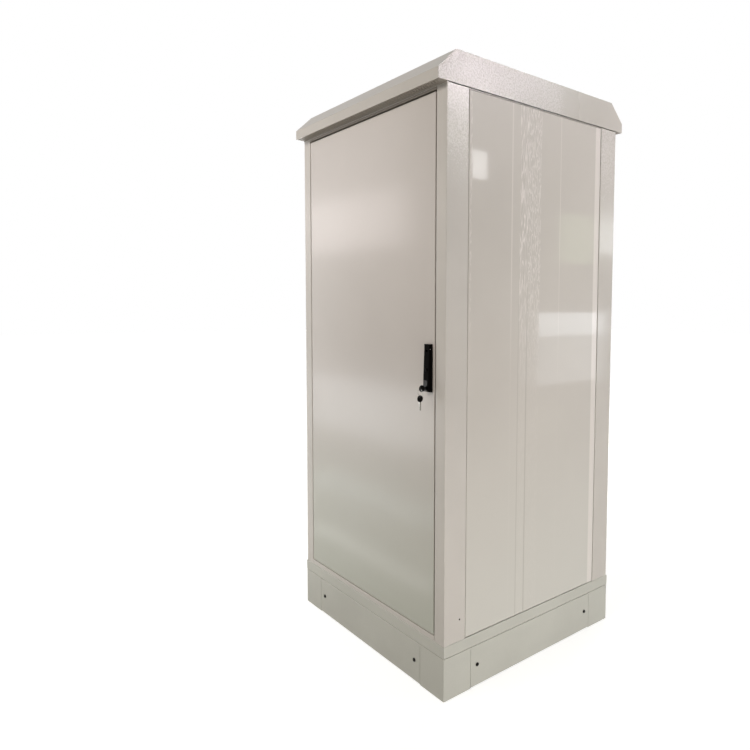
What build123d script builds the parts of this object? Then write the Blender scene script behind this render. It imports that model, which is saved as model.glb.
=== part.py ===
"""Outdoor equipment cabinet of folded sheet steel: plinth, base rails, corner posts, lift-off side and
rear panels, a vented rain roof, a flush front door on concealed hinges with a swing-handle rod lock, and
19-inch rails inside. Millimetres, +Z up, front towards -Y, origin on the ground at the plan's centre."""

import math
import os

from build123d import *

# Overall plan and common sheet
PLAN_WIDTH = 900.0
PLAN_DEPTH = 900.0
BODY_STEP = 2.0
SHEET = 2.0
BEND = 3.0
OVERRUN = 5.0

# Plinth legs, covers and their screws
PLINTH_HEIGHT = 143.0
PLINTH_SHEET = 2.5
LEG_FACE = 121.0
LEG_PLATE = 4.0
LEG_BOLT_INSET = 32.0
LEG_BOLT_RADIUS = 7.0
TAB_REACH = 46.0
TAB_LAP = 15.0
TAB_MARGIN = 20.0
COVER_SEAM = 1.5
COVER_RETURN = 15.0
COVER_FLOOR_GAP = 1.0
PLINTH_SCREW_INSET = 29.5
PLINTH_SCREW_HEIGHT = 75.0
SCREW_HEAD_RADIUS = 6.5
SCREW_HEAD_HEIGHT = 3.5
SCREW_HEAD_BEVEL = 1.5
SCREW_SHANK_RADIUS = 4.0
SCREW_LENGTH = 16.0
SCREW_CLEARANCE = 0.4
SOCKET_ACROSS = 5.0
SOCKET_DEPTH = 2.0

# Base rails and floor
BASE_RAIL_HEIGHT = 41.0
BASE_FLANGE = 45.0
FLOOR_SHEET = 2.0
FLOOR_LAP = 20.0
CABLE_SLOT_WIDTH = 80.0
CABLE_SLOT_CENTRE = 150.0
EDGE_STRIP_WALL = 2.5
EDGE_STRIP_LAP = 8.0

# Corner posts
POST_HEIGHT = 1793.0
STILE = 49.0
REBATE = 30.0
LANDING = 18.0
SIDE_FACE = 95.0
PANEL_SEAT = 20.0
SEAT_WIDTH = 15.0
PLUG_RADIUS = 3.0
PLUG_HEIGHT = 73.0
PLUG_INSET = 68.0
PLUG_PROUD = 0.6

# Header, sill and door frame
HEADER_FACE = 7.0
SILL_FACE = 16.0
HEADER_END_GAP = 0.3
RING_SHEET = 2.0
RING_EDGE_GAP = 1.0
WINDOW_INSET = 70.0
RING_LIP = 15.0

# Side and rear panels
PANEL_SHEET = 1.5
PANEL_BEND = 2.0
PANEL_FRONT_GAP = 0.8
PANEL_REAR_GAP = 4.0
PANEL_END_GAP = 1.5
PANEL_FLANGE = 14.0
PANEL_SEAL = 2.0
PANEL_SEAL_WIDTH = 10.0
HAT_WIDTH = 60.0
HAT_CROWN = 30.0
HAT_DEPTH = 15.0
HAT_SHEET = 1.5
HAT_MARGIN = 60.0

# Top plate, roof and eaves vents
TOP_SHEET = 2.0
TOP_SLOT_LENGTH = 200.0
TOP_SLOT_WIDTH = 12.0
TOP_SLOT_PITCH = 30.0
TOP_SLOTS = 6
ROOF_GAP = 3.0
ROOF_LIP = 35.0
ROOF_RISE = 68.0
ROOF_RUN = 73.0
ROOF_OVERHANG = 35.0
ROOF_SHEET = 2.0
SUPPORT_FLANGE = 25.0
SUPPORT_OFFSET = 230.0
SUPPORT_LENGTH = 780.0
VENT_SHEET = 1.5
VENT_BEND = 2.0
VENT_UPSTAND = 22.0
VENT_HOLE_ACROSS = 7.0
VENT_PITCH = 13.0
VENT_ROW_PITCH = 10.0
VENT_END_MARGIN = 10.0

# Door and its seal
DOOR_SIDE_GAP = 4.0
DOOR_TOP_GAP = 6.5
DOOR_BOTTOM_GAP = 4.0
DOOR_DEPTH = 24.0
DOOR_SHEET = 1.5
DOOR_BEND = 2.0
FRAME_INSET = 49.0
FRAME_WIDTH = 24.0
FRAME_DEPTH = 20.5
GASKET_WIDTH = 12.0
GASKET_CLEARANCE = 0.3

# Concealed hinges
HINGE_INSET = 10.0
HINGE_BACKSET = 7.0
HINGE_END_MARGIN = 170.0
HINGES = 3
PIN_RADIUS = 3.0
PIN_CLEARANCE = 0.05
PIN_HEAD_RADIUS = 4.5
PIN_HEAD_HEIGHT = 2.0
KNUCKLE_WALL = 2.15
FIXED_KNUCKLE = 40.0
MOVING_KNUCKLE = 21.0
KNUCKLE_GAP = 0.5
ARM_SHEET = 5.0
ARM_BACK = 14.0
ARM_SHIFT = 1.0
LEAF_SHEET = 3.0
LEAF_GAP = 1.0
LEAF_REACH = 33.0
NOTCH_MARGIN = 3.0

# Swing handle and its escutcheon
LOCK_EDGE_DISTANCE = 24.0
LOCK_WIDTH = 30.0
LOCK_BOTTOM = 1011.0
LOCK_LENGTH = 157.0
LOCK_PLATE = 4.0
LOCK_CORNER = 4.0
LOCK_EDGE = 1.0
SPINDLE_DROP = 16.0
SPINDLE_RADIUS = 7.0
SPINDLE_CLEARANCE = 0.2
SKIN_CLEARANCE = 1.0
HUB_RADIUS = 12.0
HUB_DISC = 1.2
HUB_GAP = 0.2
HUB_HEAD_GAP = 0.6
TONGUE_WIDTH = 10.0
TONGUE_HEIGHT = 7.0
TONGUE_CLEARANCE = 0.3
LEVER_WIDTH = 27.0
LEVER_LENGTH = 138.0
LEVER_PIVOT_OUT = 9.5
LEVER_END_RADIUS = 3.8
LEVER_FOOT_OUT = 17.0
LEVER_FOOT_FLAT = 46.0
LEVER_ROUND = 2.0
LEVER_FORK_DEPTH = 9.0
LEVER_PIN_RADIUS = 1.5
BUTTON_BELOW_PIVOT = 67.0
BUTTON_RADIUS = 6.0
BUTTON_CLEARANCE = 0.2
BUTTON_PROUD = 4.0
BUTTON_SINK = 4.0
BUTTON_TRAVEL = 2.5
BUTTON_FLOOR_GAP = 0.5
BUTTON_BEVEL = 1.0
CLAMP_PLATE = 3.0
CLAMP_MARGIN = 3.0
CLAMP_SCREW_RADIUS = 2.5
CLAMP_SCREW_HEAD = 4.5
CLAMP_SCREW_HEAD_HEIGHT = 3.0
CLAMP_SCREW_SHARES = (0.22, 0.12)

# Key cylinder and keys
CYLINDER_BELOW_PIVOT = 127.0
CYLINDER_RADIUS = 8.0
CYLINDER_CLEARANCE = 0.05
CYLINDER_PROUD = 2.5
CYLINDER_DEPTH = 11.5
HOUSING_WIDTH = 19.0
HOUSING_HEIGHT = 36.0
HOUSING_SHEET = 1.5
HOUSING_CORNER = 5.0
HOUSING_RAISE = 8.0
CYLINDER_FLOOR = 1.5
PLUG_CORE_RADIUS = 5.5
PLUG_CORE_CLEARANCE = 0.05
PLUG_CORE_PROUD = 0.6
KEY_SHEET = 2.0
KEY_BLADE_HEIGHT = 7.0
KEY_SLOT_CLEARANCE = 0.15
KEY_IN_PLUG = 8.0
KEY_NECK = 2.0
BOW_RADIUS = 11.0
BOW_SHEET = 5.0
BOW_BEVEL = 1.2
BOW_HOLE_RADIUS = 2.5
BOW_HOLE_OUT = 7.0
SPARE_BLADE_LENGTH = 28.0
SPARE_TIP = 2.5
RING_RADIUS = 11.5
RING_WIRE = 0.8
RING_SEAT = 1.1

# Cam, lock rods and guides
CAM_RADIUS = 12.7
CAM_SHEET = 3.5
CAM_WIDTH = 14.0
CAM_BACK = 11.0
CAM_PIN_RADIUS = 2.5
CAM_PIN_LENGTH = 6.0
ROD_WIDTH = 15.0
ROD_SHEET = 3.0
ROD_GAP = 0.7
ROD_OFFSET = 11.0
ROD_TIP = 1.0
ROD_SLOT_CLEARANCE = 0.7
ROD_END_WALL = 4.0
ROD_HOLE_CLEARANCE = 1.0
GUIDE_WALL = 2.5
GUIDE_HEIGHT = 20.0
GUIDE_CLEARANCE = 0.4
GUIDE_LOCK_MARGIN = 35.0
GUIDE_END_MARGIN = 80.0

# Inner rails and uprights
RAIL_WIDTH = 25.0
RAIL_HEIGHT = 40.0
RAIL_SHEET = 2.0
RAIL_LOW = 18.0
RAIL_HIGH = 54.0
RAIL_END_GAP = 3.0
CROSS_BAR_FRONT = 310.0
CROSS_BAR_DEPTH = 25.0
RACK_HOLE_SPACING = 465.1
RACK_UNIT = 44.45
RACK_HOLE = 9.5
UPRIGHT_INNER_MARGIN = 10.5
UPRIGHT_FACE = 40.0
UPRIGHT_FLANGE = 25.0
EARTH_BAR_LENGTH = 240.0
EARTH_BAR_HEIGHT = 25.0
EARTH_BAR_SHEET = 5.0
EARTH_HOLE_RADIUS = 4.0
EARTH_HOLES = 6
INSULATOR_RADIUS = 9.0
INSULATOR_LENGTH = 25.0
INSULATOR_SPACING = 170.0

# Levels and planes that follow from the sizes above
plan_x = PLAN_WIDTH / 2
plan_y = PLAN_DEPTH / 2
body_x = plan_x - BODY_STEP
body_y = plan_y - BODY_STEP
base_top = PLINTH_HEIGHT + BASE_RAIL_HEIGHT
post_top = base_top + POST_HEIGHT
body_top = post_top + TOP_SHEET
stile_x = body_x - STILE
landing_y = body_y - REBATE
header_z = post_top - HEADER_FACE
sill_z = base_top + SILL_FACE
door_x = stile_x - DOOR_SIDE_GAP
door_low = sill_z + DOOR_BOTTOM_GAP
door_high = header_z - DOOR_TOP_GAP
door_face = -body_y
skin_back = door_face + DOOR_SHEET
frame_back = skin_back + FRAME_DEPTH
ring_front = -landing_y - RING_SHEET
roof_low = body_top + ROOF_GAP
roof_y = plan_y + ROOF_OVERHANG
roof_top = roof_low + ROOF_LIP + ROOF_RISE
seat_x = body_x - PANEL_SEAT
lock_x = door_x - LOCK_EDGE_DISTANCE
lock_top = LOCK_BOTTOM + LOCK_LENGTH
spindle_z = lock_top - SPINDLE_DROP
cam_back = door_face + CAM_BACK + CAM_SHEET
rod_front = cam_back + ROD_GAP

SIDES = {"front": 0, "right": 90, "rear": 180, "left": 270}
CORNERS = {"front_right": (1, 1), "front_left": (-1, 1), "rear_right": (1, -1), "rear_left": (-1, -1)}


def folded(points, thickness, bend):
    """Section of a sheet bent along the points, lying to the left of that path."""
    path = FilletPolyline(*points, radius=bend)
    return make_face(offset(path, amount=thickness, side=Side.LEFT, closed=True))


def along_x(section, length):
    """A (y, z) section run along X, half of the length each way."""
    return extrude(Plane.YZ * section, amount=length / 2, both=True)


def along_y(section, length):
    """An (x, z) section run along Y, half of the length each way."""
    return extrude(Plane.XZ * section, amount=length / 2, both=True)


def along_z(section, low, high):
    """An (x, y) section run up from low to high."""
    return extrude(Pos(0, 0, low) * section, amount=high - low)


def block(x, y, z):
    """Box between three pairs of limits."""
    size = [pair[1] - pair[0] for pair in (x, y, z)]
    middle = [(pair[0] + pair[1]) / 2 for pair in (x, y, z)]
    return Pos(*middle) * Box(*size)


def rod_y(x, z, radius, y):
    """Cylinder along Y between two limits."""
    return Pos(x, (y[0] + y[1]) / 2, z) * Rot(90, 0, 0) * Cylinder(radius, y[1] - y[0])


def rod_x(y, z, radius, x):
    """Cylinder along X between two limits."""
    return Pos((x[0] + x[1]) / 2, y, z) * Rot(0, 90, 0) * Cylinder(radius, x[1] - x[0])


def to_corner(shape, sign_x, sign_y):
    """The front right piece moved to another corner by mirroring."""
    if sign_x < 0:
        shape = mirror(shape, about=Plane.YZ)
    if sign_y < 0:
        shape = mirror(shape, about=Plane.XZ)
    return shape


def side_span(side):
    """Length of a side of the plan, and how far its face is from the centre."""
    if side in ("front", "rear"):
        return PLAN_WIDTH, plan_y
    return PLAN_DEPTH, plan_x


def plinth_leg():
    """Front right corner leg: an angle with a foot plate, a head plate and two tabs for the covers."""
    edge_x = plan_x - LEG_FACE
    edge_y = -plan_y + LEG_FACE
    angle = folded([(edge_x, -plan_y), (plan_x, -plan_y), (plan_x, edge_y)], PLINTH_SHEET, BEND)
    leg = along_z(angle, 0, PLINTH_HEIGHT)
    inner_x = plan_x - PLINTH_SHEET
    inner_y = -plan_y + PLINTH_SHEET
    plate = make_face(Polyline((edge_x, inner_y), (inner_x, inner_y), (inner_x, edge_y), close=True))
    leg += along_z(plate, 0, LEG_PLATE)
    leg += along_z(plate, PLINTH_HEIGHT - LEG_PLATE, PLINTH_HEIGHT)
    tab_z = (TAB_MARGIN, PLINTH_HEIGHT - TAB_MARGIN)
    leg += block((edge_x - TAB_REACH, edge_x + TAB_LAP), (inner_y, inner_y + PLINTH_SHEET), tab_z)
    leg += block((inner_x - PLINTH_SHEET, inner_x), (edge_y - TAB_LAP, edge_y + TAB_REACH), tab_z)
    bolt_at = Pos(plan_x - LEG_BOLT_INSET, -plan_y + LEG_BOLT_INSET, LEG_PLATE / 2)
    leg -= bolt_at * Cylinder(LEG_BOLT_RADIUS, LEG_PLATE + OVERRUN)
    hole = SCREW_SHANK_RADIUS + SCREW_CLEARANCE
    reach = COVER_SEAM + PLINTH_SCREW_INSET
    leg -= rod_y(edge_x - reach, PLINTH_SCREW_HEIGHT, hole, (-plan_y - OVERRUN, inner_y + 2 * PLINTH_SHEET))
    leg -= rod_x(edge_y + reach, PLINTH_SCREW_HEIGHT, hole, (inner_x - 2 * PLINTH_SHEET, plan_x + OVERRUN))
    return leg


def plinth_screw_places(side):
    """Places of one side's two screws along that side, and the depth of the face."""
    length, half = side_span(side)
    reach = length / 2 - LEG_FACE - COVER_SEAM - PLINTH_SCREW_INSET
    return (-reach, reach), half


def plinth_cover(side):
    """Cover between two legs: a channel with its flanges turned in."""
    length, half = side_span(side)
    low = COVER_FLOOR_GAP
    high = PLINTH_HEIGHT - COVER_FLOOR_GAP
    back = -half + COVER_RETURN
    section = folded([(back, high), (-half, high), (-half, low), (back, low)], PLINTH_SHEET, BEND)
    cover = along_x(section, length - 2 * (LEG_FACE + COVER_SEAM))
    places, half = plinth_screw_places(side)
    for x in places:
        hole = SCREW_SHANK_RADIUS + SCREW_CLEARANCE
        cover -= rod_y(x, PLINTH_SCREW_HEIGHT, hole, (-half - OVERRUN, -half + OVERRUN))
    return Rot(0, 0, SIDES[side]) * cover


def plinth_screw():
    """Bevelled socket-head screw with its seat at the origin, its head towards -Y."""
    head = rod_y(0, 0, SCREW_HEAD_RADIUS, (-SCREW_HEAD_HEIGHT, 0))
    rim = head.edges().filter_by(GeomType.CIRCLE).sort_by(Axis.Y)[0]
    head = chamfer(rim, SCREW_HEAD_BEVEL)
    socket = RegularPolygon(SOCKET_ACROSS / 2, 6, major_radius=False)
    head -= Pos(0, -SCREW_HEAD_HEIGHT + SOCKET_DEPTH, 0) * extrude(Plane.XZ * socket, amount=SOCKET_DEPTH)
    return head + rod_y(0, 0, SCREW_SHANK_RADIUS, (0, SCREW_LENGTH))


def plinth_screws():
    """All the screws that hold the plinth covers."""
    screws = []
    for side, turn in SIDES.items():
        places, half = plinth_screw_places(side)
        for x in places:
            screws.append(Rot(0, 0, turn) * Pos(x, -half, PLINTH_SCREW_HEIGHT) * plinth_screw())
    return Compound(screws)


def base_rail(side):
    """Channel of the base frame, mitred at both corners."""
    length, half = side_span(side)
    back = -half + BASE_FLANGE
    low = PLINTH_HEIGHT
    section = folded([(back, base_top), (-half, base_top), (-half, low), (back, low)], PLINTH_SHEET, BEND)
    end = length / 2
    inner = end - BASE_FLANGE
    mitre = Polyline((-end, -half), (end, -half), (inner, back), (-inner, back), close=True)
    rail = along_x(section, length) & along_z(make_face(mitre), low, base_top)
    return Rot(0, 0, SIDES[side]) * rail


def floor_edges():
    """Outer reach of the floor plates on the base flanges, and the two edges of the cable slot."""
    reach_x = plan_x - BASE_FLANGE + FLOOR_LAP
    reach_y = plan_y - BASE_FLANGE + FLOOR_LAP
    slot = (CABLE_SLOT_CENTRE - CABLE_SLOT_WIDTH / 2, CABLE_SLOT_CENTRE + CABLE_SLOT_WIDTH / 2)
    return min(reach_x, seat_x - SHEET), min(reach_y, landing_y - SHEET), slot


def floor_plate(part):
    """Front or rear half of the floor, with the cable slot between them."""
    reach_x, reach_y, slot = floor_edges()
    y = (-reach_y, slot[0]) if part == "front" else (slot[1], reach_y)
    plate = block((-reach_x, reach_x), y, (base_top, base_top + FLOOR_SHEET))
    post_y = (-plan_y, -body_y + SIDE_FACE + SEAT_WIDTH)
    notch = block((stile_x - LANDING, plan_x), post_y, (0, post_top))
    for signs in CORNERS.values():
        plate -= to_corner(notch, *signs)
    return plate


def edge_strip(part):
    """Rubber channel pushed over the floor plate's edge along the cable slot."""
    reach_x, reach_y, slot = floor_edges()
    inward = -1 if part == "front" else 1
    edge = slot[0] if part == "front" else slot[1]
    low = base_top
    high = base_top + FLOOR_SHEET
    y = sorted((edge + inward * EDGE_STRIP_LAP, edge - inward * EDGE_STRIP_WALL))
    end = reach_x - BASE_FLANGE
    strip = block((-end, end), y, (low - EDGE_STRIP_WALL, high + EDGE_STRIP_WALL))
    groove = sorted((edge, edge + inward * (EDGE_STRIP_LAP + OVERRUN)))
    return strip - block((-reach_x, reach_x), groove, (low, high))


def post(sign_x, sign_y):
    """Corner post: stile, rebate and landing towards the door or rear, side face and seat for the panel."""
    side_end = -body_y + SIDE_FACE
    section = folded(
        [
            (stile_x - LANDING, -landing_y),
            (stile_x, -landing_y),
            (stile_x, -body_y),
            (body_x, -body_y),
            (body_x, side_end),
            (seat_x, side_end),
            (seat_x, side_end + SEAT_WIDTH),
        ],
        SHEET,
        BEND,
    )
    return to_corner(along_z(section, base_top, post_top), sign_x, sign_y)


def hole_plug():
    """Small blanking plugs in the side faces of the front posts."""
    y = -body_y + PLUG_INSET
    z = base_top + PLUG_HEIGHT
    plug = rod_x(y, z, PLUG_RADIUS, (body_x, body_x + PLUG_PROUD))
    return Compound([plug, mirror(plug, about=Plane.YZ)])


def header(sign_y):
    """Angle over the door or rear panel: a narrow face and a rebate flange."""
    section = folded([(-body_y, post_top), (-body_y, header_z), (ring_front, header_z)], SHEET, BEND)
    return to_corner(along_x(section, 2 * (stile_x - HEADER_END_GAP)), 1, sign_y)


def sill(sign_y):
    """Angle under the door or rear panel."""
    section = folded([(ring_front, sill_z), (-body_y, sill_z), (-body_y, base_top)], SHEET, BEND)
    return to_corner(along_x(section, 2 * (stile_x - HEADER_END_GAP)), 1, sign_y)


def window():
    """Half width, bottom and top of the clear door opening."""
    return door_x - WINDOW_INSET, door_low + WINDOW_INSET, door_high - WINDOW_INSET


def door_frame():
    """Flat frame that the door seals on, its inner edge turned back as a lip."""
    half, low, high = window()
    edge = stile_x - BEND - RING_EDGE_GAP
    back = ring_front + RING_SHEET
    frame = block((-edge, edge), (ring_front, back), (sill_z - SHEET, header_z + SHEET))
    outer = block(
        (-half - RING_SHEET, half + RING_SHEET),
        (ring_front, back + RING_LIP),
        (low - RING_SHEET, high + RING_SHEET),
    )
    through = (ring_front - OVERRUN, back + RING_LIP + OVERRUN)
    return frame + outer - block((-half, half), through, (low, high))


def tray(width, height, depth, sheet, bend, flange=0):
    """Sheet tray with its face on y = 0 and its rim towards +Y, standing on z = 0.

    A flange turns the rim's edge in again, flat with y = depth.
    """
    shell = block((-width / 2, width / 2), (0, depth), (0, height))
    shell = fillet(shell.faces().sort_by(Axis.Y)[0].edges(), bend)
    inner_x = width / 2 - sheet
    back = depth - sheet if flange else depth + OVERRUN
    shell -= block((-inner_x, inner_x), (sheet, back), (sheet, height - sheet))
    if flange:
        mouth_x = width / 2 - flange
        shell -= block((-mouth_x, mouth_x), (sheet, depth + OVERRUN), (flange, height - flange))
    return shell


def panel_z():
    """Bottom and top of the side panels."""
    return base_top + PANEL_END_GAP, post_top - PANEL_END_GAP


def side_panel(sign_x):
    """Lift-off side panel, seated on the post flanges."""
    low, high = panel_z()
    front = -body_y + SIDE_FACE + PANEL_FRONT_GAP
    rear = body_y - SIDE_FACE - PANEL_REAR_GAP
    panel = tray(rear - front, high - low, PANEL_SEAT - PANEL_SEAL, PANEL_SHEET, PANEL_BEND, PANEL_FLANGE)
    return to_corner(Pos(body_x, (front + rear) / 2, low) * Rot(0, 0, 90) * panel, sign_x, 1)


def panel_seals():
    """Foam strips between the side panels and the seats on the posts."""
    low, high = panel_z()
    edge = body_y - SIDE_FACE - PANEL_REAR_GAP
    strip = block((seat_x, seat_x + PANEL_SEAL), (-edge, -edge + PANEL_SEAL_WIDTH), (low, high))
    return Compound([to_corner(strip, *signs) for signs in CORNERS.values()])


def side_stiffener(sign_x):
    """Hat section spot-welded down the inside of a side panel."""
    low, high = panel_z()
    foot = body_x - PANEL_SHEET
    crown = foot - HAT_DEPTH
    points = [(foot, -HAT_WIDTH / 2), (foot, -HAT_CROWN / 2), (crown, -HAT_CROWN / 2)]
    points += [(x, -y) for x, y in reversed(points)]
    hat = along_z(folded(points, HAT_SHEET, PANEL_BEND), low + HAT_MARGIN, high - HAT_MARGIN)
    return to_corner(hat, sign_x, 1)


def rear_panel():
    """Rear panel, seated on the landings of the rear posts."""
    panel = tray(2 * door_x, door_high - door_low, REBATE, PANEL_SHEET, PANEL_BEND)
    return Pos(0, body_y, door_low) * Rot(0, 0, 180) * panel


def top_plate():
    """Plate over the posts, slotted for the air that leaves under the roof."""
    plate = block((-body_x, body_x), (-body_y, body_y), (post_top, body_top))
    slot = Box(TOP_SLOT_LENGTH, TOP_SLOT_WIDTH, TOP_SHEET + OVERRUN)
    for side in (-1, 1):
        for row in range(TOP_SLOTS):
            y = (row - (TOP_SLOTS - 1) / 2) * TOP_SLOT_PITCH
            plate -= Pos(side * (TOP_SLOT_LENGTH / 2 + TOP_SLOT_PITCH), y, post_top + TOP_SHEET / 2) * slot
    return plate


def roof_points():
    """Outline of the roof seen from the side, from the rear lip over the top to the front lip."""
    shoulder = roof_low + ROOF_LIP
    half = [(roof_y, roof_low), (roof_y, shoulder), (roof_y - ROOF_RUN, roof_top)]
    return half + [(-y, z) for y, z in reversed(half)]


def roof_hood():
    """Folded hood with sloping eaves front and rear and flat gable ends."""
    shell = along_x(folded(roof_points(), ROOF_SHEET, BEND), PLAN_WIDTH)
    outline = FilletPolyline(*roof_points(), radius=BEND)
    gable = make_face([outline, Line(outline @ 1, outline @ 0)])
    for sign_x in (-1, 1):
        shell += Pos(sign_x * (plan_x - ROOF_SHEET / 2), 0, 0) * along_x(gable, ROOF_SHEET)
    return shell


def roof_support(sign_y):
    """Z-section between the top plate and the roof."""
    high = roof_top - ROOF_SHEET
    web = -SUPPORT_OFFSET
    points = [(web - SUPPORT_FLANGE, body_top), (web, body_top)]
    points += [(web, high - SHEET), (web + SUPPORT_FLANGE, high - SHEET)]
    return to_corner(along_x(folded(points, SHEET, BEND), SUPPORT_LENGTH), 1, sign_y)


def vent_strip(sign_y):
    """Perforated soffit under the eaves: an upstand behind the roof's lip, and a foot on the top plate."""
    lip = -roof_y + ROOF_SHEET
    points = [(lip, roof_low + VENT_UPSTAND), (lip, roof_low), (-body_y, roof_low), (-body_y, body_top)]
    length = PLAN_WIDTH - 2 * ROOF_SHEET
    strip = along_x(folded(points, VENT_SHEET, VENT_BEND), length)
    hexagon = RegularPolygon(VENT_HOLE_ACROSS / 2, 6, major_radius=False)
    hole = extrude(hexagon, amount=VENT_SHEET + 2 * OVERRUN)
    columns = math.floor((length - 2 * VENT_END_MARGIN) / VENT_PITCH)
    middle_y = (lip + VENT_SHEET - body_y) / 2
    holes = []
    for row in (-1, 0, 1):
        stagger = abs(row) / 2
        for column in range(columns):
            x = (column - columns / 2 + stagger) * VENT_PITCH
            holes.append(Pos(x, middle_y + row * VENT_ROW_PITCH, roof_low - OVERRUN) * hole)
    return to_corner(strip - holes, 1, sign_y)


def hinge_heights():
    """Heights of the door hinges."""
    low = door_low + HINGE_END_MARGIN
    span = door_high - HINGE_END_MARGIN - low
    return [low + span * n / (HINGES - 1) for n in range(HINGES)]


def pivot():
    """Plan position of the hinge pins."""
    return -door_x + HINGE_INSET, door_face + HINGE_BACKSET


def knuckle(z, height):
    """Solid barrel of a hinge, centred on z."""
    x, y = pivot()
    return Pos(x, y, z) * Cylinder(PIN_RADIUS + PIN_CLEARANCE + KNUCKLE_WALL, height)


def pin_bore(z, height):
    """Bore through a hinge barrel."""
    x, y = pivot()
    return Pos(x, y, z) * Cylinder(PIN_RADIUS + PIN_CLEARANCE, height + OVERRUN)


def hinge_frame_arms():
    """Goose-neck arms welded to the left front post, which reach round the door's edge to the pins."""
    x, y = pivot()
    neck = (x + ARM_SHIFT - ARM_SHEET / 2, x + ARM_SHIFT + ARM_SHEET / 2)
    bar = (y + ARM_BACK, y + ARM_BACK + ARM_SHEET)
    arms = []
    for z in hinge_heights():
        reach = (z - FIXED_KNUCKLE / 2, z + FIXED_KNUCKLE / 2)
        arm = knuckle(z, FIXED_KNUCKLE) + block(neck, (y, bar[1]), reach)
        arm += block((-stile_x, neck[1]), bar, reach)
        arms.append(arm - pin_bore(z, FIXED_KNUCKLE))
    return Compound(arms)


def hinge_door_leaves():
    """Leaves welded inside the door, with a barrel above and below each frame arm."""
    x, y = pivot()
    barrel = PIN_RADIUS + PIN_CLEARANCE + KNUCKLE_WALL
    half = FIXED_KNUCKLE / 2 + KNUCKLE_GAP + MOVING_KNUCKLE
    skin = (skin_back, skin_back + LEAF_SHEET)
    leaves = []
    for z in hinge_heights():
        leaf = block((x + barrel + LEAF_GAP, x + LEAF_REACH), skin, (z - half, z + half))
        for side in (-1, 1):
            middle = z + side * (half - MOVING_KNUCKLE / 2)
            ends = (middle - MOVING_KNUCKLE / 2, middle + MOVING_KNUCKLE / 2)
            leaf += knuckle(middle, MOVING_KNUCKLE) + block((x, x + barrel + LEAF_GAP), skin, ends)
            leaf -= pin_bore(middle, MOVING_KNUCKLE)
        leaves.append(leaf)
    return Compound(leaves)


def hinge_pins():
    """Headed hinge pins."""
    x, y = pivot()
    half = FIXED_KNUCKLE / 2 + KNUCKLE_GAP + MOVING_KNUCKLE
    pins = []
    for z in hinge_heights():
        shank = Pos(x, y, z) * Cylinder(PIN_RADIUS, 2 * half)
        head = Pos(x, y, z + half + PIN_HEAD_HEIGHT / 2) * Cylinder(PIN_HEAD_RADIUS, PIN_HEAD_HEIGHT)
        pins.append(shank + head)
    return Compound(pins)


def rod_x_limits(side):
    """Limits in X of a lock rod: side 1 is the upper rod, side -1 the lower."""
    middle = lock_x + side * ROD_OFFSET
    return middle - ROD_WIDTH / 2, middle + ROD_WIDTH / 2


def door_tray():
    """Folded door sheet: a tray notched for the hinge arms, bored for the lock and slotted for the rods."""
    shell = tray(2 * door_x, door_high - door_low, DOOR_DEPTH, DOOR_SHEET, DOOR_BEND)
    shell = Pos(0, door_face, door_low) * shell
    half = FIXED_KNUCKLE / 2 + KNUCKLE_GAP + MOVING_KNUCKLE + PIN_HEAD_HEIGHT + NOTCH_MARGIN
    rim = (skin_back, door_face + DOOR_DEPTH + OVERRUN)
    for z in hinge_heights():
        shell -= block((-door_x - OVERRUN, -door_x + DOOR_SHEET), rim, (z - half, z + half))
    skin = (door_face - OVERRUN, skin_back + OVERRUN)
    shell -= rod_y(lock_x, spindle_z, SPINDLE_RADIUS + SKIN_CLEARANCE, skin)
    for z in clamp_screw_heights():
        shell -= rod_y(lock_x, z, CLAMP_SCREW_RADIUS + SCREW_CLEARANCE, skin)
    slot_y = (rod_front - ROD_HOLE_CLEARANCE, rod_front + ROD_SHEET + ROD_HOLE_CLEARANCE)
    for side, edge in ((1, door_high), (-1, door_low)):
        low, high = rod_x_limits(side)
        slot_x = (low - ROD_HOLE_CLEARANCE, high + ROD_HOLE_CLEARANCE)
        shell -= block(slot_x, slot_y, (edge - OVERRUN, edge + OVERRUN))
    return shell


def door_front():
    """Space that holds the door sheet's face and bends, in front of its returns."""
    width = (-door_x - OVERRUN, door_x + OVERRUN)
    return block(width, (door_face - OVERRUN, door_face + DOOR_BEND), (door_low - OVERRUN, door_high + OVERRUN))


def door_panel():
    """Face of the door sheet, with its bends."""
    return door_tray() & door_front()


def door_returns():
    """Edges of the door sheet, turned back behind its bends."""
    return door_tray() - door_front()


def door_ring(inset, width, y):
    """Rectangular ring inside the door, set in from its edge."""
    outer_x = door_x - inset
    outer_z = (door_low + inset, door_high - inset)
    inner_z = (outer_z[0] + width, outer_z[1] - width)
    ring = block((-outer_x, outer_x), y, outer_z)
    return ring - block((-outer_x + width, outer_x - width), (y[0] - OVERRUN, y[1] + OVERRUN), inner_z)


def door_inner_frame():
    """Channel ring welded inside the skin, which stiffens the door and carries the seal."""
    ring = door_ring(FRAME_INSET, FRAME_WIDTH, (skin_back, frame_back))
    groove_y = (skin_back - OVERRUN, frame_back - DOOR_SHEET)
    return ring - door_ring(FRAME_INSET + DOOR_SHEET, FRAME_WIDTH - 2 * DOOR_SHEET, groove_y)


def door_gasket():
    """Foam seal on the inner frame, which meets the door frame of the carcass."""
    inset = FRAME_INSET + (FRAME_WIDTH - GASKET_WIDTH) / 2
    return door_ring(inset, GASKET_WIDTH, (frame_back, ring_front - GASKET_CLEARANCE))


def clamp_screw_heights():
    """Heights of the two screws that clamp the escutcheon."""
    return [LOCK_BOTTOM + LOCK_LENGTH * share for share in CLAMP_SCREW_SHARES]


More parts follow.
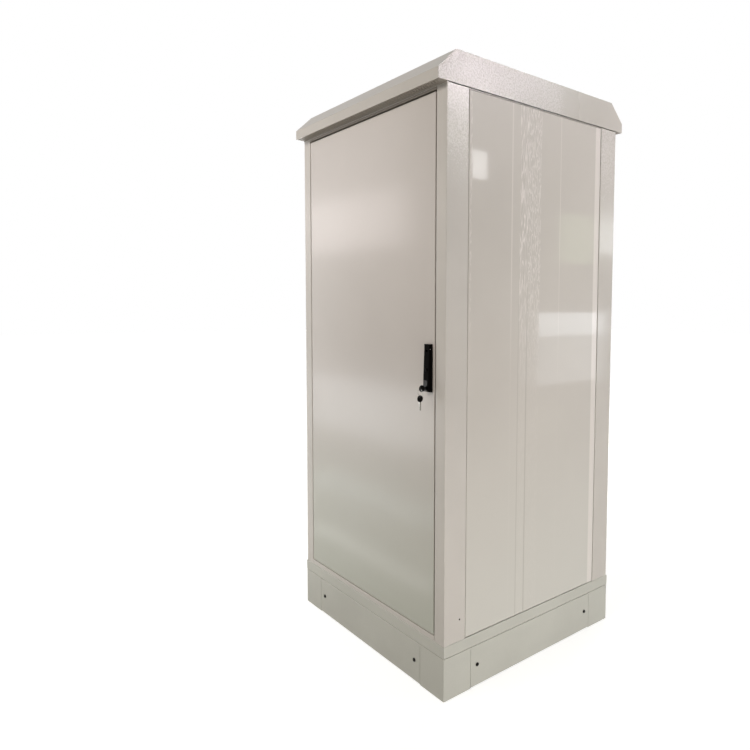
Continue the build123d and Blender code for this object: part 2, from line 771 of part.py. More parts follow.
def lock_plate():
    """Black escutcheon on the outside of the door."""
    outline = RectangleRounded(LOCK_WIDTH, LOCK_LENGTH, LOCK_CORNER)
    middle = Pos(lock_x, door_face, LOCK_BOTTOM + LOCK_LENGTH / 2)
    plate = middle * extrude(Plane.XZ * outline, amount=LOCK_PLATE)
    plate = chamfer(plate.faces().sort_by(Axis.Y)[0].edges(), LOCK_EDGE)
    through = (door_face - LOCK_PLATE - OVERRUN, door_face + OVERRUN)
    return plate - rod_y(lock_x, spindle_z, SPINDLE_RADIUS + SPINDLE_CLEARANCE, through)


def lock_clamp_plate():
    """Plate inside the door that the escutcheon is clamped with."""
    half = LOCK_WIDTH / 2 - CLAMP_MARGIN
    z = (LOCK_BOTTOM + CLAMP_MARGIN, lock_top - CLAMP_MARGIN)
    y = (skin_back, skin_back + CLAMP_PLATE)
    plate = block((lock_x - half, lock_x + half), y, z)
    through = (y[0] - OVERRUN, y[1] + OVERRUN)
    plate -= rod_y(lock_x, spindle_z, SPINDLE_RADIUS + SKIN_CLEARANCE, through)
    for height in clamp_screw_heights():
        plate -= rod_y(lock_x, height, CLAMP_SCREW_RADIUS + SCREW_CLEARANCE, through)
    return plate


def lock_screws():
    """Screws from the clamp plate into the escutcheon."""
    seat = skin_back + CLAMP_PLATE
    screws = []
    for z in clamp_screw_heights():
        shank = rod_y(lock_x, z, CLAMP_SCREW_RADIUS, (door_face, seat))
        screws.append(shank + rod_y(lock_x, z, CLAMP_SCREW_HEAD, (seat, seat + CLAMP_SCREW_HEAD_HEIGHT)))
    return Compound(screws)


def out_from_door(distance):
    """Y of a plane that stands out from the door's face."""
    return door_face - distance


def hub_head():
    """Block on the hub that closes the lock above the lever, hollowed for the lever's round head."""
    half = LEVER_WIDTH / 2
    front = out_from_door(lever_front(0))
    back = out_from_door(LOCK_PLATE + HUB_GAP)
    head = block((lock_x - half, lock_x + half), (front, back), (spindle_z - HUB_RADIUS, lock_top))
    head = fillet(head.faces().sort_by(Axis.Y)[0].edges(), LEVER_ROUND)
    through = (lock_x - half - OVERRUN, lock_x + half + OVERRUN)
    head -= rod_x(out_from_door(LEVER_PIVOT_OUT), spindle_z, LEVER_END_RADIUS + HUB_HEAD_GAP, through)
    below = (spindle_z - HUB_RADIUS - OVERRUN, spindle_z)
    return head - block(through, (front - OVERRUN, back + OVERRUN), below)


def handle_hub():
    """Turning hub: spindle, disc on the escutcheon, head, and the tongue that the lever hangs on."""
    disc_back = out_from_door(LOCK_PLATE + HUB_GAP)
    disc = rod_y(lock_x, spindle_z, HUB_RADIUS, (disc_back - HUB_DISC, disc_back))
    spindle = rod_y(lock_x, spindle_z, SPINDLE_RADIUS, (disc_back, door_face + CAM_BACK))
    half = TONGUE_WIDTH / 2
    pivot_y = out_from_door(LEVER_PIVOT_OUT)
    end = rod_x(pivot_y, spindle_z, TONGUE_HEIGHT / 2, (lock_x - half, lock_x + half))
    stem_z = (spindle_z - TONGUE_HEIGHT / 2, spindle_z + TONGUE_HEIGHT / 2)
    stem = block((lock_x - half, lock_x + half), (pivot_y, disc_back - HUB_DISC), stem_z)
    through = (lock_x - half - OVERRUN, lock_x + half + OVERRUN)
    hole = rod_x(pivot_y, spindle_z, LEVER_PIN_RADIUS + PIN_CLEARANCE, through)
    return disc + spindle + end + stem + hub_head() - hole


def lever_front(below):
    """How far the lever's front stands out of the door, that far below its pivot: it slopes, then runs flat."""
    top = LEVER_PIVOT_OUT + LEVER_END_RADIUS
    slope = LEVER_LENGTH - LEVER_FOOT_FLAT
    return top + (LEVER_FOOT_OUT - top) * min(below, slope) / slope


def handle_lever():
    """Lever: a bar that thickens towards its foot, forked at its head and bored for button and cylinder."""
    pivot_y = out_from_door(LEVER_PIVOT_OUT)
    back_y = pivot_y + LEVER_END_RADIUS
    foot_z = spindle_z - LEVER_LENGTH
    head_front = (out_from_door(lever_front(0)), spindle_z)
    head_back = (back_y, spindle_z)
    head_arc = ThreePointArc(head_front, (pivot_y, spindle_z + LEVER_END_RADIUS), head_back)
    foot_y = out_from_door(LEVER_FOOT_OUT)
    foot = [(back_y, foot_z), (foot_y, foot_z), (foot_y, foot_z + LEVER_FOOT_FLAT)]
    sides = Polyline(head_back, *foot, head_front)
    lever = Pos(lock_x, 0, 0) * along_x(make_face([head_arc, sides]), LEVER_WIDTH)
    upright_edges = lever.edges().filter_by(Axis.X, reverse=True)
    lever = fillet(upright_edges.filter_by(lambda edge: edge.center().Y < pivot_y), LEVER_ROUND)
    half = TONGUE_WIDTH / 2 + TONGUE_CLEARANCE
    fork_z = (spindle_z - LEVER_FORK_DEPTH, spindle_z + LEVER_END_RADIUS + OVERRUN)
    fork_y = (out_from_door(LEVER_FOOT_OUT + OVERRUN), back_y + OVERRUN)
    lever -= block((lock_x - half, lock_x + half), fork_y, fork_z)
    pin_x = (lock_x - LEVER_WIDTH / 2 - OVERRUN, lock_x + LEVER_WIDTH / 2 + OVERRUN)
    lever -= rod_x(pivot_y, spindle_z, LEVER_PIN_RADIUS, pin_x)
    button_z = spindle_z - BUTTON_BELOW_PIVOT
    face_y = out_from_door(lever_front(BUTTON_BELOW_PIVOT))
    floor_y = face_y + BUTTON_SINK + BUTTON_TRAVEL + BUTTON_FLOOR_GAP
    lever -= rod_y(lock_x, button_z, BUTTON_RADIUS + BUTTON_CLEARANCE, (fork_y[0], floor_y))
    cylinder_z = spindle_z - CYLINDER_BELOW_PIVOT
    bore = CYLINDER_RADIUS + CYLINDER_CLEARANCE
    return lever - rod_y(lock_x, cylinder_z, bore, (fork_y[0], cylinder_y()[1]))


def lever_pin():
    """Pin that the lever tilts on."""
    half = LEVER_WIDTH / 2
    pivot_y = out_from_door(LEVER_PIVOT_OUT)
    return rod_x(pivot_y, spindle_z, LEVER_PIN_RADIUS, (lock_x - half, lock_x + half))


def release_button():
    """Push button in the lever."""
    face = out_from_door(lever_front(BUTTON_BELOW_PIVOT))
    z = spindle_z - BUTTON_BELOW_PIVOT
    button = rod_y(lock_x, z, BUTTON_RADIUS, (face - BUTTON_PROUD, face + BUTTON_SINK))
    return chamfer(button.edges().filter_by(GeomType.CIRCLE).sort_by(Axis.Y)[0], BUTTON_BEVEL)


def cylinder_y():
    """Front and back planes of the key cylinder."""
    front = out_from_door(lever_front(CYLINDER_BELOW_PIVOT) + CYLINDER_PROUD)
    return front, front + CYLINDER_DEPTH


def lock_cylinder():
    """Barrel of the key cylinder, fixed in the lever's foot, with the plated housing round it."""
    z = spindle_z - CYLINDER_BELOW_PIVOT
    front, back = cylinder_y()
    plate = RectangleRounded(HOUSING_WIDTH, HOUSING_HEIGHT, HOUSING_CORNER)
    seat = Pos(lock_x, out_from_door(lever_front(CYLINDER_BELOW_PIVOT)), z + HOUSING_RAISE)
    barrel = rod_y(lock_x, z, CYLINDER_RADIUS, (front, back))
    barrel += seat * extrude(Plane.XZ * plate, amount=HOUSING_SHEET)
    bore = PLUG_CORE_RADIUS + PLUG_CORE_CLEARANCE
    return barrel - rod_y(lock_x, z, bore, (front - OVERRUN, back - CYLINDER_FLOOR))


def lock_plug():
    """Turning core of the key cylinder, with its keyway."""
    z = spindle_z - CYLINDER_BELOW_PIVOT
    front, back = cylinder_y()
    face = front - PLUG_CORE_PROUD
    core = rod_y(lock_x, z, PLUG_CORE_RADIUS, (face, back - CYLINDER_FLOOR - PLUG_CORE_CLEARANCE))
    half_x = KEY_SHEET / 2 + KEY_SLOT_CLEARANCE
    half_z = KEY_BLADE_HEIGHT / 2 + KEY_SLOT_CLEARANCE
    keyway = (face - OVERRUN, face + KEY_IN_PLUG + KEY_SLOT_CLEARANCE)
    return core - block((lock_x - half_x, lock_x + half_x), keyway, (z - half_z, z + half_z))


def bow_centre():
    """Centre of the bow of the key in the lock, in (y, z)."""
    face = cylinder_y()[0] - PLUG_CORE_PROUD
    return face - KEY_NECK - BOW_RADIUS, spindle_z - CYLINDER_BELOW_PIVOT


def key_bow(y, z, hole_y, hole_z):
    """Plastic bow of a key, a disc across X with a hole for the ring."""
    disc = rod_x(y, z, BOW_RADIUS, (lock_x - BOW_SHEET / 2, lock_x + BOW_SHEET / 2))
    disc = chamfer(disc.edges().filter_by(GeomType.CIRCLE), BOW_BEVEL)
    return disc - rod_x(hole_y, hole_z, BOW_HOLE_RADIUS, (lock_x - BOW_SHEET, lock_x + BOW_SHEET))


def key_blade():
    """Blade of the key in the lock, from the bow into the keyway."""
    y, z = bow_centre()
    half = KEY_BLADE_HEIGHT / 2
    start = y + math.sqrt(BOW_RADIUS**2 - half**2)
    end = cylinder_y()[0] - PLUG_CORE_PROUD + KEY_IN_PLUG
    blade = block((lock_x - KEY_SHEET / 2, lock_x + KEY_SHEET / 2), (start, end), (z - half, z + half))
    return blade - rod_x(y, z, BOW_RADIUS, (lock_x - BOW_SHEET, lock_x + BOW_SHEET))


def inserted_bow():
    """Bow of the key in the lock."""
    y, z = bow_centre()
    return key_bow(y, z, y - BOW_HOLE_OUT, z)


def ring_top():
    """Where the key ring passes through the bow in the lock, in (y, z)."""
    y, z = bow_centre()
    return y - BOW_HOLE_OUT, z - RING_SEAT


def key_ring():
    """Wire ring through both bows."""
    y, z = ring_top()
    return Pos(lock_x, y, z - RING_RADIUS) * Rot(90, 0, 0) * Torus(RING_RADIUS, RING_WIRE)


def spare_centre():
    """Centre of the spare key's bow, in (y, z)."""
    y, z = ring_top()
    return y, z - 2 * RING_RADIUS - RING_SEAT - BOW_HOLE_OUT


def spare_bow():
    """Bow of the spare key that hangs on the ring."""
    y, z = spare_centre()
    return key_bow(y, z, y, z + BOW_HOLE_OUT)


def spare_blade():
    """Blade of the spare key, pointing down."""
    y, z = spare_centre()
    half = KEY_BLADE_HEIGHT / 2
    top = z - math.sqrt(BOW_RADIUS**2 - half**2)
    tip = z - BOW_RADIUS - SPARE_BLADE_LENGTH
    shoulder = tip + SPARE_TIP
    end = [(y + half, shoulder), (y, tip), (y - half, shoulder)]
    outline = Polyline((y - half, top), (y + half, top), *end, close=True)
    blade = Pos(lock_x, 0, 0) * along_x(make_face(outline), KEY_SHEET)
    return blade - rod_x(y, z, BOW_RADIUS, (lock_x - BOW_SHEET, lock_x + BOW_SHEET))


def cam_pins():
    """Rest places of the two drive pins round the spindle: the upper rod's and the lower rod's."""
    reach = CAM_RADIUS * math.sqrt(0.5)
    return {1: (lock_x + reach, spindle_z + reach), -1: (lock_x - reach, spindle_z - reach)}


def lock_cam():
    """Cam on the spindle's end, with a drive pin for each rod."""
    front = door_face + CAM_BACK
    bar = SlotCenterToCenter(2 * CAM_RADIUS, CAM_WIDTH, rotation=45)
    cam = Pos(lock_x, cam_back, spindle_z) * extrude(Plane.XZ * bar, amount=cam_back - front)
    for x, z in cam_pins().values():
        cam += rod_y(x, z, CAM_PIN_RADIUS, (cam_back, cam_back + CAM_PIN_LENGTH))
    return cam


def lock_rod(side):
    """Flat rod to the top or bottom edge of the door, slotted for its drive pin."""
    x, z = cam_pins()[side]
    slot_half = CAM_PIN_RADIUS + ROD_SLOT_CLEARANCE
    tip = door_high + ROD_TIP if side > 0 else door_low - ROD_TIP
    start = z - side * (slot_half + ROD_END_WALL)
    y = (rod_front, rod_front + ROD_SHEET)
    rod = block(rod_x_limits(side), y, sorted((start, tip)))
    inner = CAM_RADIUS * math.sqrt(0.5) - slot_half
    slot_x = sorted((lock_x + side * inner, lock_x + side * (CAM_RADIUS + slot_half)))
    return rod - block(slot_x, (y[0] - OVERRUN, y[1] + OVERRUN), (z - slot_half, z + slot_half))


def rod_guides():
    """Guide blocks on the inside of the door skin, two to each rod."""
    y = (skin_back, rod_front + ROD_SHEET + GUIDE_CLEARANCE + GUIDE_WALL)
    groove_y = (rod_front - GUIDE_CLEARANCE, rod_front + ROD_SHEET + GUIDE_CLEARANCE)
    guides = []
    for side, start, end in ((1, lock_top, door_high), (-1, LOCK_BOTTOM, door_low)):
        low, high = rod_x_limits(side)
        for z in (start + side * GUIDE_LOCK_MARGIN, end - side * GUIDE_END_MARGIN):
            height = (z - GUIDE_HEIGHT / 2, z + GUIDE_HEIGHT / 2)
            wall = GUIDE_CLEARANCE + GUIDE_WALL
            guide = block((low - wall, high + wall), y, height)
            groove_x = (low - GUIDE_CLEARANCE, high + GUIDE_CLEARANCE)
            groove_z = (height[0] - OVERRUN, height[1] + OVERRUN)
            guides.append(guide - block(groove_x, groove_y, groove_z))
    return Compound(guides)


def rail_levels():
    """Bottom edges of the lower and upper inner rails."""
    low = base_top + RAIL_LOW
    return {"lower": low, "upper": post_top - RAIL_HIGH - RAIL_HEIGHT}


def channel(width, low, high):
    """Channel section with its back on x = 0 and its flanges towards +x."""
    return folded([(width, high), (0, high), (0, low), (width, low)], RAIL_SHEET, BEND)


def depth_rail(sign_x, level):
    """Channel from front post to rear post, along one side."""
    low = rail_levels()[level]
    back = seat_x - SHEET - RAIL_WIDTH
    length = 2 * (body_y - SIDE_FACE - RAIL_END_GAP)
    rail = Pos(back, 0, 0) * along_y(channel(RAIL_WIDTH, low, low + RAIL_HEIGHT), length)
    return to_corner(rail, sign_x, 1)


def cross_bar(sign_y, level):
    """Channel between the two depth rails, which carries the uprights."""
    low = rail_levels()[level]
    front = -CROSS_BAR_FRONT
    back = front + CROSS_BAR_DEPTH
    points = [(back, low + RAIL_HEIGHT), (front, low + RAIL_HEIGHT), (front, low), (back, low)]
    span = 2 * (seat_x - SHEET - RAIL_WIDTH)
    return to_corner(along_x(folded(points, RAIL_SHEET, BEND), span), 1, sign_y)


def upright(sign_x, sign_y):
    """19-inch upright: a punched face on the cross bars and a flange turned away from them."""
    hole_x = RACK_HOLE_SPACING / 2
    inner = hole_x - UPRIGHT_INNER_MARGIN
    outer = inner + UPRIGHT_FACE
    face = -CROSS_BAR_FRONT - RAIL_SHEET
    low = rail_levels()["lower"]
    high = rail_levels()["upper"] + RAIL_HEIGHT
    points = [(inner, face), (outer, face), (outer, face - UPRIGHT_FLANGE)]
    angle = along_z(folded(points, RAIL_SHEET, BEND), low, high)
    count = math.floor((high - low) / RACK_UNIT)
    first = (low + high) / 2 - (count - 1) / 2 * RACK_UNIT
    hole = Box(RACK_HOLE, 2 * (RAIL_SHEET + OVERRUN), RACK_HOLE)
    holes = [Pos(hole_x, face, first + n * RACK_UNIT) * hole for n in range(count)]
    return to_corner(angle - holes, sign_x, sign_y)


def earth_plane():
    """X of the earth bar's mounting face on the left lower depth rail, and its height."""
    return -(seat_x - SHEET - RAIL_WIDTH), rail_levels()["lower"] + RAIL_HEIGHT / 2


def earth_insulators():
    """Stand-off insulators of the earth bar."""
    x, z = earth_plane()
    places = (-INSULATOR_SPACING / 2, INSULATOR_SPACING / 2)
    return Compound([rod_x(y, z, INSULATOR_RADIUS, (x, x + INSULATOR_LENGTH)) for y in places])


def earth_bar():
    """Copper earth bar with its row of stud holes."""
    x, z = earth_plane()
    front = x + INSULATOR_LENGTH
    half_y = EARTH_BAR_LENGTH / 2
    half_z = EARTH_BAR_HEIGHT / 2
    bar = block((front, front + EARTH_BAR_SHEET), (-half_y, half_y), (z - half_z, z + half_z))
    pitch = EARTH_BAR_LENGTH / (EARTH_HOLES + 1)
    for n in range(EARTH_HOLES):
        y = (n + 1) * pitch - EARTH_BAR_LENGTH / 2
        bar -= rod_x(y, z, EARTH_HOLE_RADIUS, (front - OVERRUN, front + EARTH_BAR_SHEET + OVERRUN))
    return bar


def carcass_nodes():
    """Everything that stands still."""
    corners = CORNERS.values()
    ends = {"front": 1, "rear": -1}
    nodes = {
        "plinth_legs": Compound([to_corner(plinth_leg(), *signs) for signs in corners]),
        "plinth_screws": plinth_screws(),
        "base_rails": Compound([base_rail(side) for side in SIDES]),
        "cable_slot_edges": Compound([edge_strip(end) for end in ends]),
        "headers": Compound([header(sign) for sign in ends.values()]),
        "sills": Compound([sill(sign) for sign in ends.values()]),
        "hole_plugs": hole_plug(),
        "door_frame": door_frame(),
        "panel_seals": panel_seals(),
        "side_stiffeners": Compound([side_stiffener(sign) for sign in (1, -1)]),
        "rear_panel": rear_panel(),
        "top_plate": top_plate(),
        "roof_supports": Compound([roof_support(sign) for sign in ends.values()]),
        "roof_hood": roof_hood(),
        "hinge_frame_arms": hinge_frame_arms(),
        "hinge_pins": hinge_pins(),
        "depth_rails": Compound([depth_rail(x, level) for x in (1, -1) for level in rail_levels()]),
        "cross_bars": Compound([cross_bar(y, level) for y in (1, -1) for level in rail_levels()]),
        "earth_bar": earth_bar(),
        "earth_insulators": earth_insulators(),
        "side_panel_right": side_panel(1),
        "side_panel_left": side_panel(-1),
    }
    for corner, signs in CORNERS.items():
        nodes[f"post_{corner}"] = post(*signs)
    for side in SIDES:
        nodes[f"plinth_cover_{side}"] = plinth_cover(side)
    for end, sign in ends.items():
        nodes[f"floor_plate_{end}"] = floor_plate(end)
        nodes[f"eaves_vent_{end}"] = vent_strip(sign)
        nodes[f"rack_uprights_{end}"] = Compound([upright(x, sign) for x in (1, -1)])
    return nodes


def door_nodes():
    """The door, its lock and the keys."""
    return {
        "door_panel": door_panel(),
        "door_returns": door_returns(),
        "door_inner_frame": door_inner_frame(),
        "door_gasket": door_gasket(),
        "hinge_door_leaves": hinge_door_leaves(),
        "lock_plate": lock_plate(),
        "lock_clamp_plate": lock_clamp_plate(),
        "lock_screws": lock_screws(),
        "rod_guides": rod_guides(),
        "lock_rod_upper": lock_rod(1),
        "lock_rod_lower": lock_rod(-1),
        "lock_cam": lock_cam(),
        "handle_hub": handle_hub(),
        "handle_lever": handle_lever(),
        "lever_pin": lever_pin(),
        "release_button": release_button(),
        "lock_cylinder": lock_cylinder(),
        "lock_plug": lock_plug(),
        "key_blade": key_blade(),
        "key_bow": inserted_bow(),
        "key_ring": key_ring(),
        "spare_key_bow": spare_bow(),
        "spare_key_blade": spare_blade(),
    }


def main():
    """Writes one STEP file for each node."""
    os.makedirs("parts", exist_ok=True)
    for name, shape in {**carcass_nodes(), **door_nodes()}.items():
        export_step(shape, f"parts/{name}.step")


main()
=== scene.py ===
"""Looks of a roadside utility cabinet: finishes, seals, a key blade, fixings, studio and camera."""

import logging
import math
from contextlib import contextmanager
from dataclasses import dataclass
from enum import Enum
from typing import Callable, ClassVar, Iterator

import bmesh
import bpy
from mathutils import Euler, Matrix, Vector


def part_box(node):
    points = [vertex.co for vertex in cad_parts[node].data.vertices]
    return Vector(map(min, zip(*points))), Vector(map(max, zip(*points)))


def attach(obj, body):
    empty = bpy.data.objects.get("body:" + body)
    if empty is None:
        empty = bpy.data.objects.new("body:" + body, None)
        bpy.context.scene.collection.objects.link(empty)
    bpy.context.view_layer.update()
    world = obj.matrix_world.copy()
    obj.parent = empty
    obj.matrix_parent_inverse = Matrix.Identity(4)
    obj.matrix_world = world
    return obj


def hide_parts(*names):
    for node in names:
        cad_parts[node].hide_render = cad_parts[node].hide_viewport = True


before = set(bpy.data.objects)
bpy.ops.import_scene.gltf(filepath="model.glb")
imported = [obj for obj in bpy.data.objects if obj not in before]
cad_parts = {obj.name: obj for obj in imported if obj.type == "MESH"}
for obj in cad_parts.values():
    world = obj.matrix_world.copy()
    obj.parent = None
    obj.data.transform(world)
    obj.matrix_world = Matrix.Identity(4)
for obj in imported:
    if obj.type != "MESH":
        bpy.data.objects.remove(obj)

log = logging.getLogger("cabinet")

Inputs = dict[str | int, object]
Pair = tuple[float, float]
Point = tuple[float, float, float]
Node = bpy.types.Node
Part = bmesh.types.BMFace | bmesh.types.BMEdge
Piece = bpy.types.Object
Socket = bpy.types.NodeSocket
Tree = bpy.types.NodeTree

MM = 0.001  # a millimetre in metres
METRE = 1000.0  # in millimetres, for scales of patterns
WELD = 1e-6  # metres within which vertices are merged
TOUCH = 1e-5  # metres within which a vertex lies on a face of the box it came from
FACING = 0.9  # share of a face's normal along an axis from which the face looks that way
SHARP = 0.5  # radians between two faces from which their edge is sharp
SOFT = math.radians(35)  # angle between two faces up to which shading runs over their edge
OVERRUN = 1.0 * MM  # reach of a cutter past what it cuts
ROUND_SIDES = 24  # flats of a small round head
TO_X = Euler((0, math.radians(90), 0))  # turns a drum's axis from Z to X
TO_Y = Euler((math.radians(-90), 0, 0))  # turns a drum's axis from Z to Y
NOISE_MEAN = 0.5  # value that a noise swings about
MIX_A, MIX_B, MIX_OUT = 6, 7, 2  # sockets of a Mix node that mixes colours


class Body(Enum):
    """The moving groups that a new piece can ride on."""

    CABINET = "cabinet"
    DOOR = "door"
    KEY_RING = "key_ring"


class Axis(Enum):
    """Directions of edges and of a finish's lines."""

    X = Vector((1, 0, 0))
    Y = Vector((0, 1, 0))
    Z = Vector((0, 0, 1))


class Pick(Enum):
    """What is picked in edit mode."""

    VERTS = "VERT"
    EDGES = "EDGE"
    FACES = "FACE"


def linear(code: str) -> tuple[float, float, float, float]:
    """Turns an sRGB hex colour such as "#c4beb3" to linear light, by the standard's curve, with alpha 1."""
    parts = [int(code[n : n + 2], 16) / 255 for n in (1, 3, 5)]
    return (*(p / 12.92 if p <= 0.04045 else ((p + 0.055) / 1.055) ** 2.4 for p in parts), 1.0)


def add_node(tree: Tree, kind: str, inputs: Inputs | None = None, **settings: object) -> Node:
    """Adds a node with its settings, and links or sets its inputs.

    Args:
        tree: the node tree that takes the node.
        kind: Blender's type name of the node, without its ShaderNode.
        inputs: by socket name or number, a value, a socket that feeds it or a node whose first output does.
        settings: attributes of the node itself.

    Returns:
        The new node.
    """
    node = tree.nodes.new(f"ShaderNode{kind}")
    for key, value in settings.items():
        setattr(node, key, value)
    for key, value in (inputs or {}).items():
        feed = value.outputs[0] if isinstance(value, Node) else value
        if isinstance(feed, Socket):
            tree.links.new(feed, node.inputs[key])
        else:
            node.inputs[key].default_value = feed
    return node


@dataclass(frozen=True)
class Finish:
    """A surface of one material, made once and shared by the pieces that have it."""

    name: str

    def material(self) -> bpy.types.Material:
        """Makes the finish's material at the first call.

        Returns:
            The material.
        """
        found = bpy.data.materials.get(self.name)
        if found:
            return found
        made = bpy.data.materials.new(self.name)
        made.use_nodes = True
        made.node_tree.nodes.clear()
        add_node(made.node_tree, "OutputMaterial", {"Surface": self.shade(made.node_tree)})
        return made

    def shade(self, tree: Tree) -> Node:
        """Builds the shader in the tree and gives its last node."""
        raise NotImplementedError

    def dress(self, *pieces: Piece) -> None:
        """Puts the finish on whole pieces.

        Args:
            pieces: what to dress.
        """
        for piece in pieces:
            piece.data.materials.clear()
            piece.data.materials.append(self.material())
            for face in piece.data.polygons:
                face.material_index = 0


@dataclass(frozen=True)
class PowderCoat(Finish):
    """Polyester powder coat, sprayed dry and baked: its fine orange peel breaks up reflections.

    The real grain is about 1 mm; grain_mm draws it coarser, so that it still shows at the render's size.
    """

    light: str
    dark: str
    # Paler tone mixed in on the peel's crests, and its share: painted glints.
    glint_tone: str = "#d8d2ca"
    # The low tone is painted light from the floor, mixed in towards the ground up to a given height.
    low: str = "#b4b4a6"
    floor_light_share: float = 0.0
    floor_light_top_mm: float = 1000.0
    mottle_mm: float = 260.0
    mottle_range: Pair = (0.3, 0.7)
    grain_mm: float = 5.0
    grain_depth_mm: float = 0.05
    crest_range: Pair = (0.5, 0.68)
    glint_share: float = 0.2
    roughness: float = 0.36
    roughness_spread: float = 0.04
    coat: float = 0.0
    coat_roughness: float = 0.12

    def tone(self, tree: Tree, place: Socket) -> tuple[Socket, Node]:
        """Mottles the colour and, near the ground, turns it towards the low tone as painted light from the
        floor.

        Args:
            tree: the material's tree.
            place: object coordinates.

        Returns:
            The colour and the mottle's value.
        """
        noise = add_node(tree, "TexNoise", {"Vector": place, "Scale": METRE / self.mottle_mm, "Detail": 3.0})
        least, most = self.mottle_range
        mottle = add_node(tree, "MapRange", {"Value": noise, "From Min": least, "From Max": most})
        tones = {0: mottle, MIX_A: linear(self.dark), MIX_B: linear(self.light)}
        colour = add_node(tree, "Mix", tones, data_type="RGBA").outputs[MIX_OUT]
        if not self.floor_light_share:
            return colour, mottle
        # Painted light from the floor: the colour turns towards the low tone below the given height.
        height = add_node(tree, "SeparateXYZ", {0: place}).outputs[2]
        fall = {"Value": height, "From Min": self.floor_light_top_mm * MM, "From Max": 0.0, "To Max": self.floor_light_share}
        depth = add_node(tree, "MapRange", fall, interpolation_type="SMOOTHSTEP")
        tones = {0: depth, MIX_A: colour, MIX_B: linear(self.low)}
        return add_node(tree, "Mix", tones, data_type="RGBA").outputs[MIX_OUT], mottle

    def peel(self, tree: Tree, place: Socket, size_mm: float) -> Node:
        """Gives a lumpy noise with lumps of one size."""
        inputs = {"Vector": place, "Scale": METRE / size_mm, "Detail": 2.0, "Roughness": 0.6}
        return add_node(tree, "TexNoise", inputs)

    def grain(self, tree: Tree, place: Socket) -> tuple[Node, Node]:
        """Gives the noise that the painted glints follow, here the orange peel, and the height in
        millimetres.
        """
        noise = self.peel(tree, place, self.grain_mm)
        return noise, add_node(tree, "Math", {0: noise, 1: self.grain_depth_mm}, operation="MULTIPLY")

    def gloss(self, tree: Tree, place: Socket, mottle: Node) -> Node:
        """Gives the roughness, a little uneven with the mottle."""
        least, most = self.roughness - self.roughness_spread, self.roughness + self.roughness_spread
        return add_node(tree, "MapRange", {"Value": mottle, "To Min": least, "To Max": most})

    def shade(self, tree: Tree) -> Node:
        """Mottled colour, painted glints on the peel's crests and the peel as bump.

        Args:
            tree: the material's tree.

        Returns:
            The shader.
        """
        place = add_node(tree, "TexCoord").outputs["Object"]
        colour, mottle = self.tone(tree, place)
        noise, height = self.grain(tree, place)
        # Painted glints: a paler tone on the crests of the peel or of the bubbles.
        start, end = self.crest_range
        glint_mask = {"Value": noise, "From Min": start, "From Max": end, "To Max": self.glint_share}
        tones = {0: add_node(tree, "MapRange", glint_mask), MIX_A: colour, MIX_B: linear(self.glint_tone)}
        surface = {
            "Base Color": add_node(tree, "Mix", tones, data_type="RGBA").outputs[MIX_OUT],
            "Roughness": self.gloss(tree, place, mottle),
            "Normal": add_node(tree, "Bump", {"Height": height, "Distance": MM}),
            "Coat Weight": self.coat,
            "Coat Roughness": self.coat_roughness,
        }
        return add_node(tree, "BsdfPrincipled", surface)


@dataclass(frozen=True)
class BubbledCoat(PowderCoat):
    """Powder coat whose outer sides still carry clear film, lifted near the top into bubbles that sparkle,
    with painted glints on their crests.

    Film lies further out than side_mm, fades out over rear_mm and lifts between the heights in lift_mm.
    Where there is none, the coat's own fine peel shows.
    """

    bubble_mm: float = 6.0
    bubble_depth_mm: float = 0.95
    # Gain of the painted glints on lifted bubbles.
    bubble_glint_gain: float = 1.22
    film_roughness: float = 0.12
    side_mm: float = 446.5
    lift_mm: Pair = (1350.0, 1900.0)
    rear_mm: Pair = (260.0, 60.0)

    def film(self, tree: Tree, place: Socket) -> tuple[Node, Node]:
        """Says where the film is.

        Args:
            tree: the material's tree.
            place: object coordinates.

        Returns:
            1 where there is film, and how far it has lifted, from 0 to 1.
        """
        axes = add_node(tree, "SeparateXYZ", {0: place})
        out = add_node(tree, "Math", {0: axes.outputs[0]}, operation="ABSOLUTE")
        share = add_node(tree, "Math", {0: out, 1: self.side_mm * MM}, operation="GREATER_THAN")
        shares = []
        for axis, (start, end) in ((1, self.rear_mm), (2, self.lift_mm)):
            inputs = {"Value": axes.outputs[axis], "From Min": start * MM, "From Max": end * MM}
            part = add_node(tree, "MapRange", inputs, interpolation_type="SMOOTHSTEP")
            share = add_node(tree, "Math", {0: share, 1: part}, operation="MULTIPLY")
            shares.append(share)
        return shares[0], shares[1]

    def grain(self, tree: Tree, place: Socket) -> tuple[Node, Node]:
        """Adds the film's bubbles to the orange peel.

        Args:
            tree: the material's tree.
            place: object coordinates.

        Returns:
            The noise that the painted glints follow, here the bubbles, and the height in millimetres.
        """
        _, height = super().grain(tree, place)
        bubbles = self.peel(tree, place, self.bubble_mm)
        _, lift = self.film(tree, place)
        lifted = add_node(tree, "Math", {0: bubbles, 1: lift}, operation="MULTIPLY")
        inputs = {0: lifted, 1: self.bubble_depth_mm, 2: height}
        height = add_node(tree, "Math", inputs, operation="MULTIPLY_ADD")
        # Lifted bubbles carry stronger painted glints.
        return add_node(tree, "Math", {0: lifted, 1: self.bubble_glint_gain}, operation="MULTIPLY"), height

    def gloss(self, tree: Tree, place: Socket, mottle: Node) -> Node:
        """Gives the roughness, low where there is film."""
        bare, (there, _) = super().gloss(tree, place, mottle), self.film(tree, place)
        return add_node(tree, "Mix", {"Factor": there, "A": bare, "B": self.film_roughness})


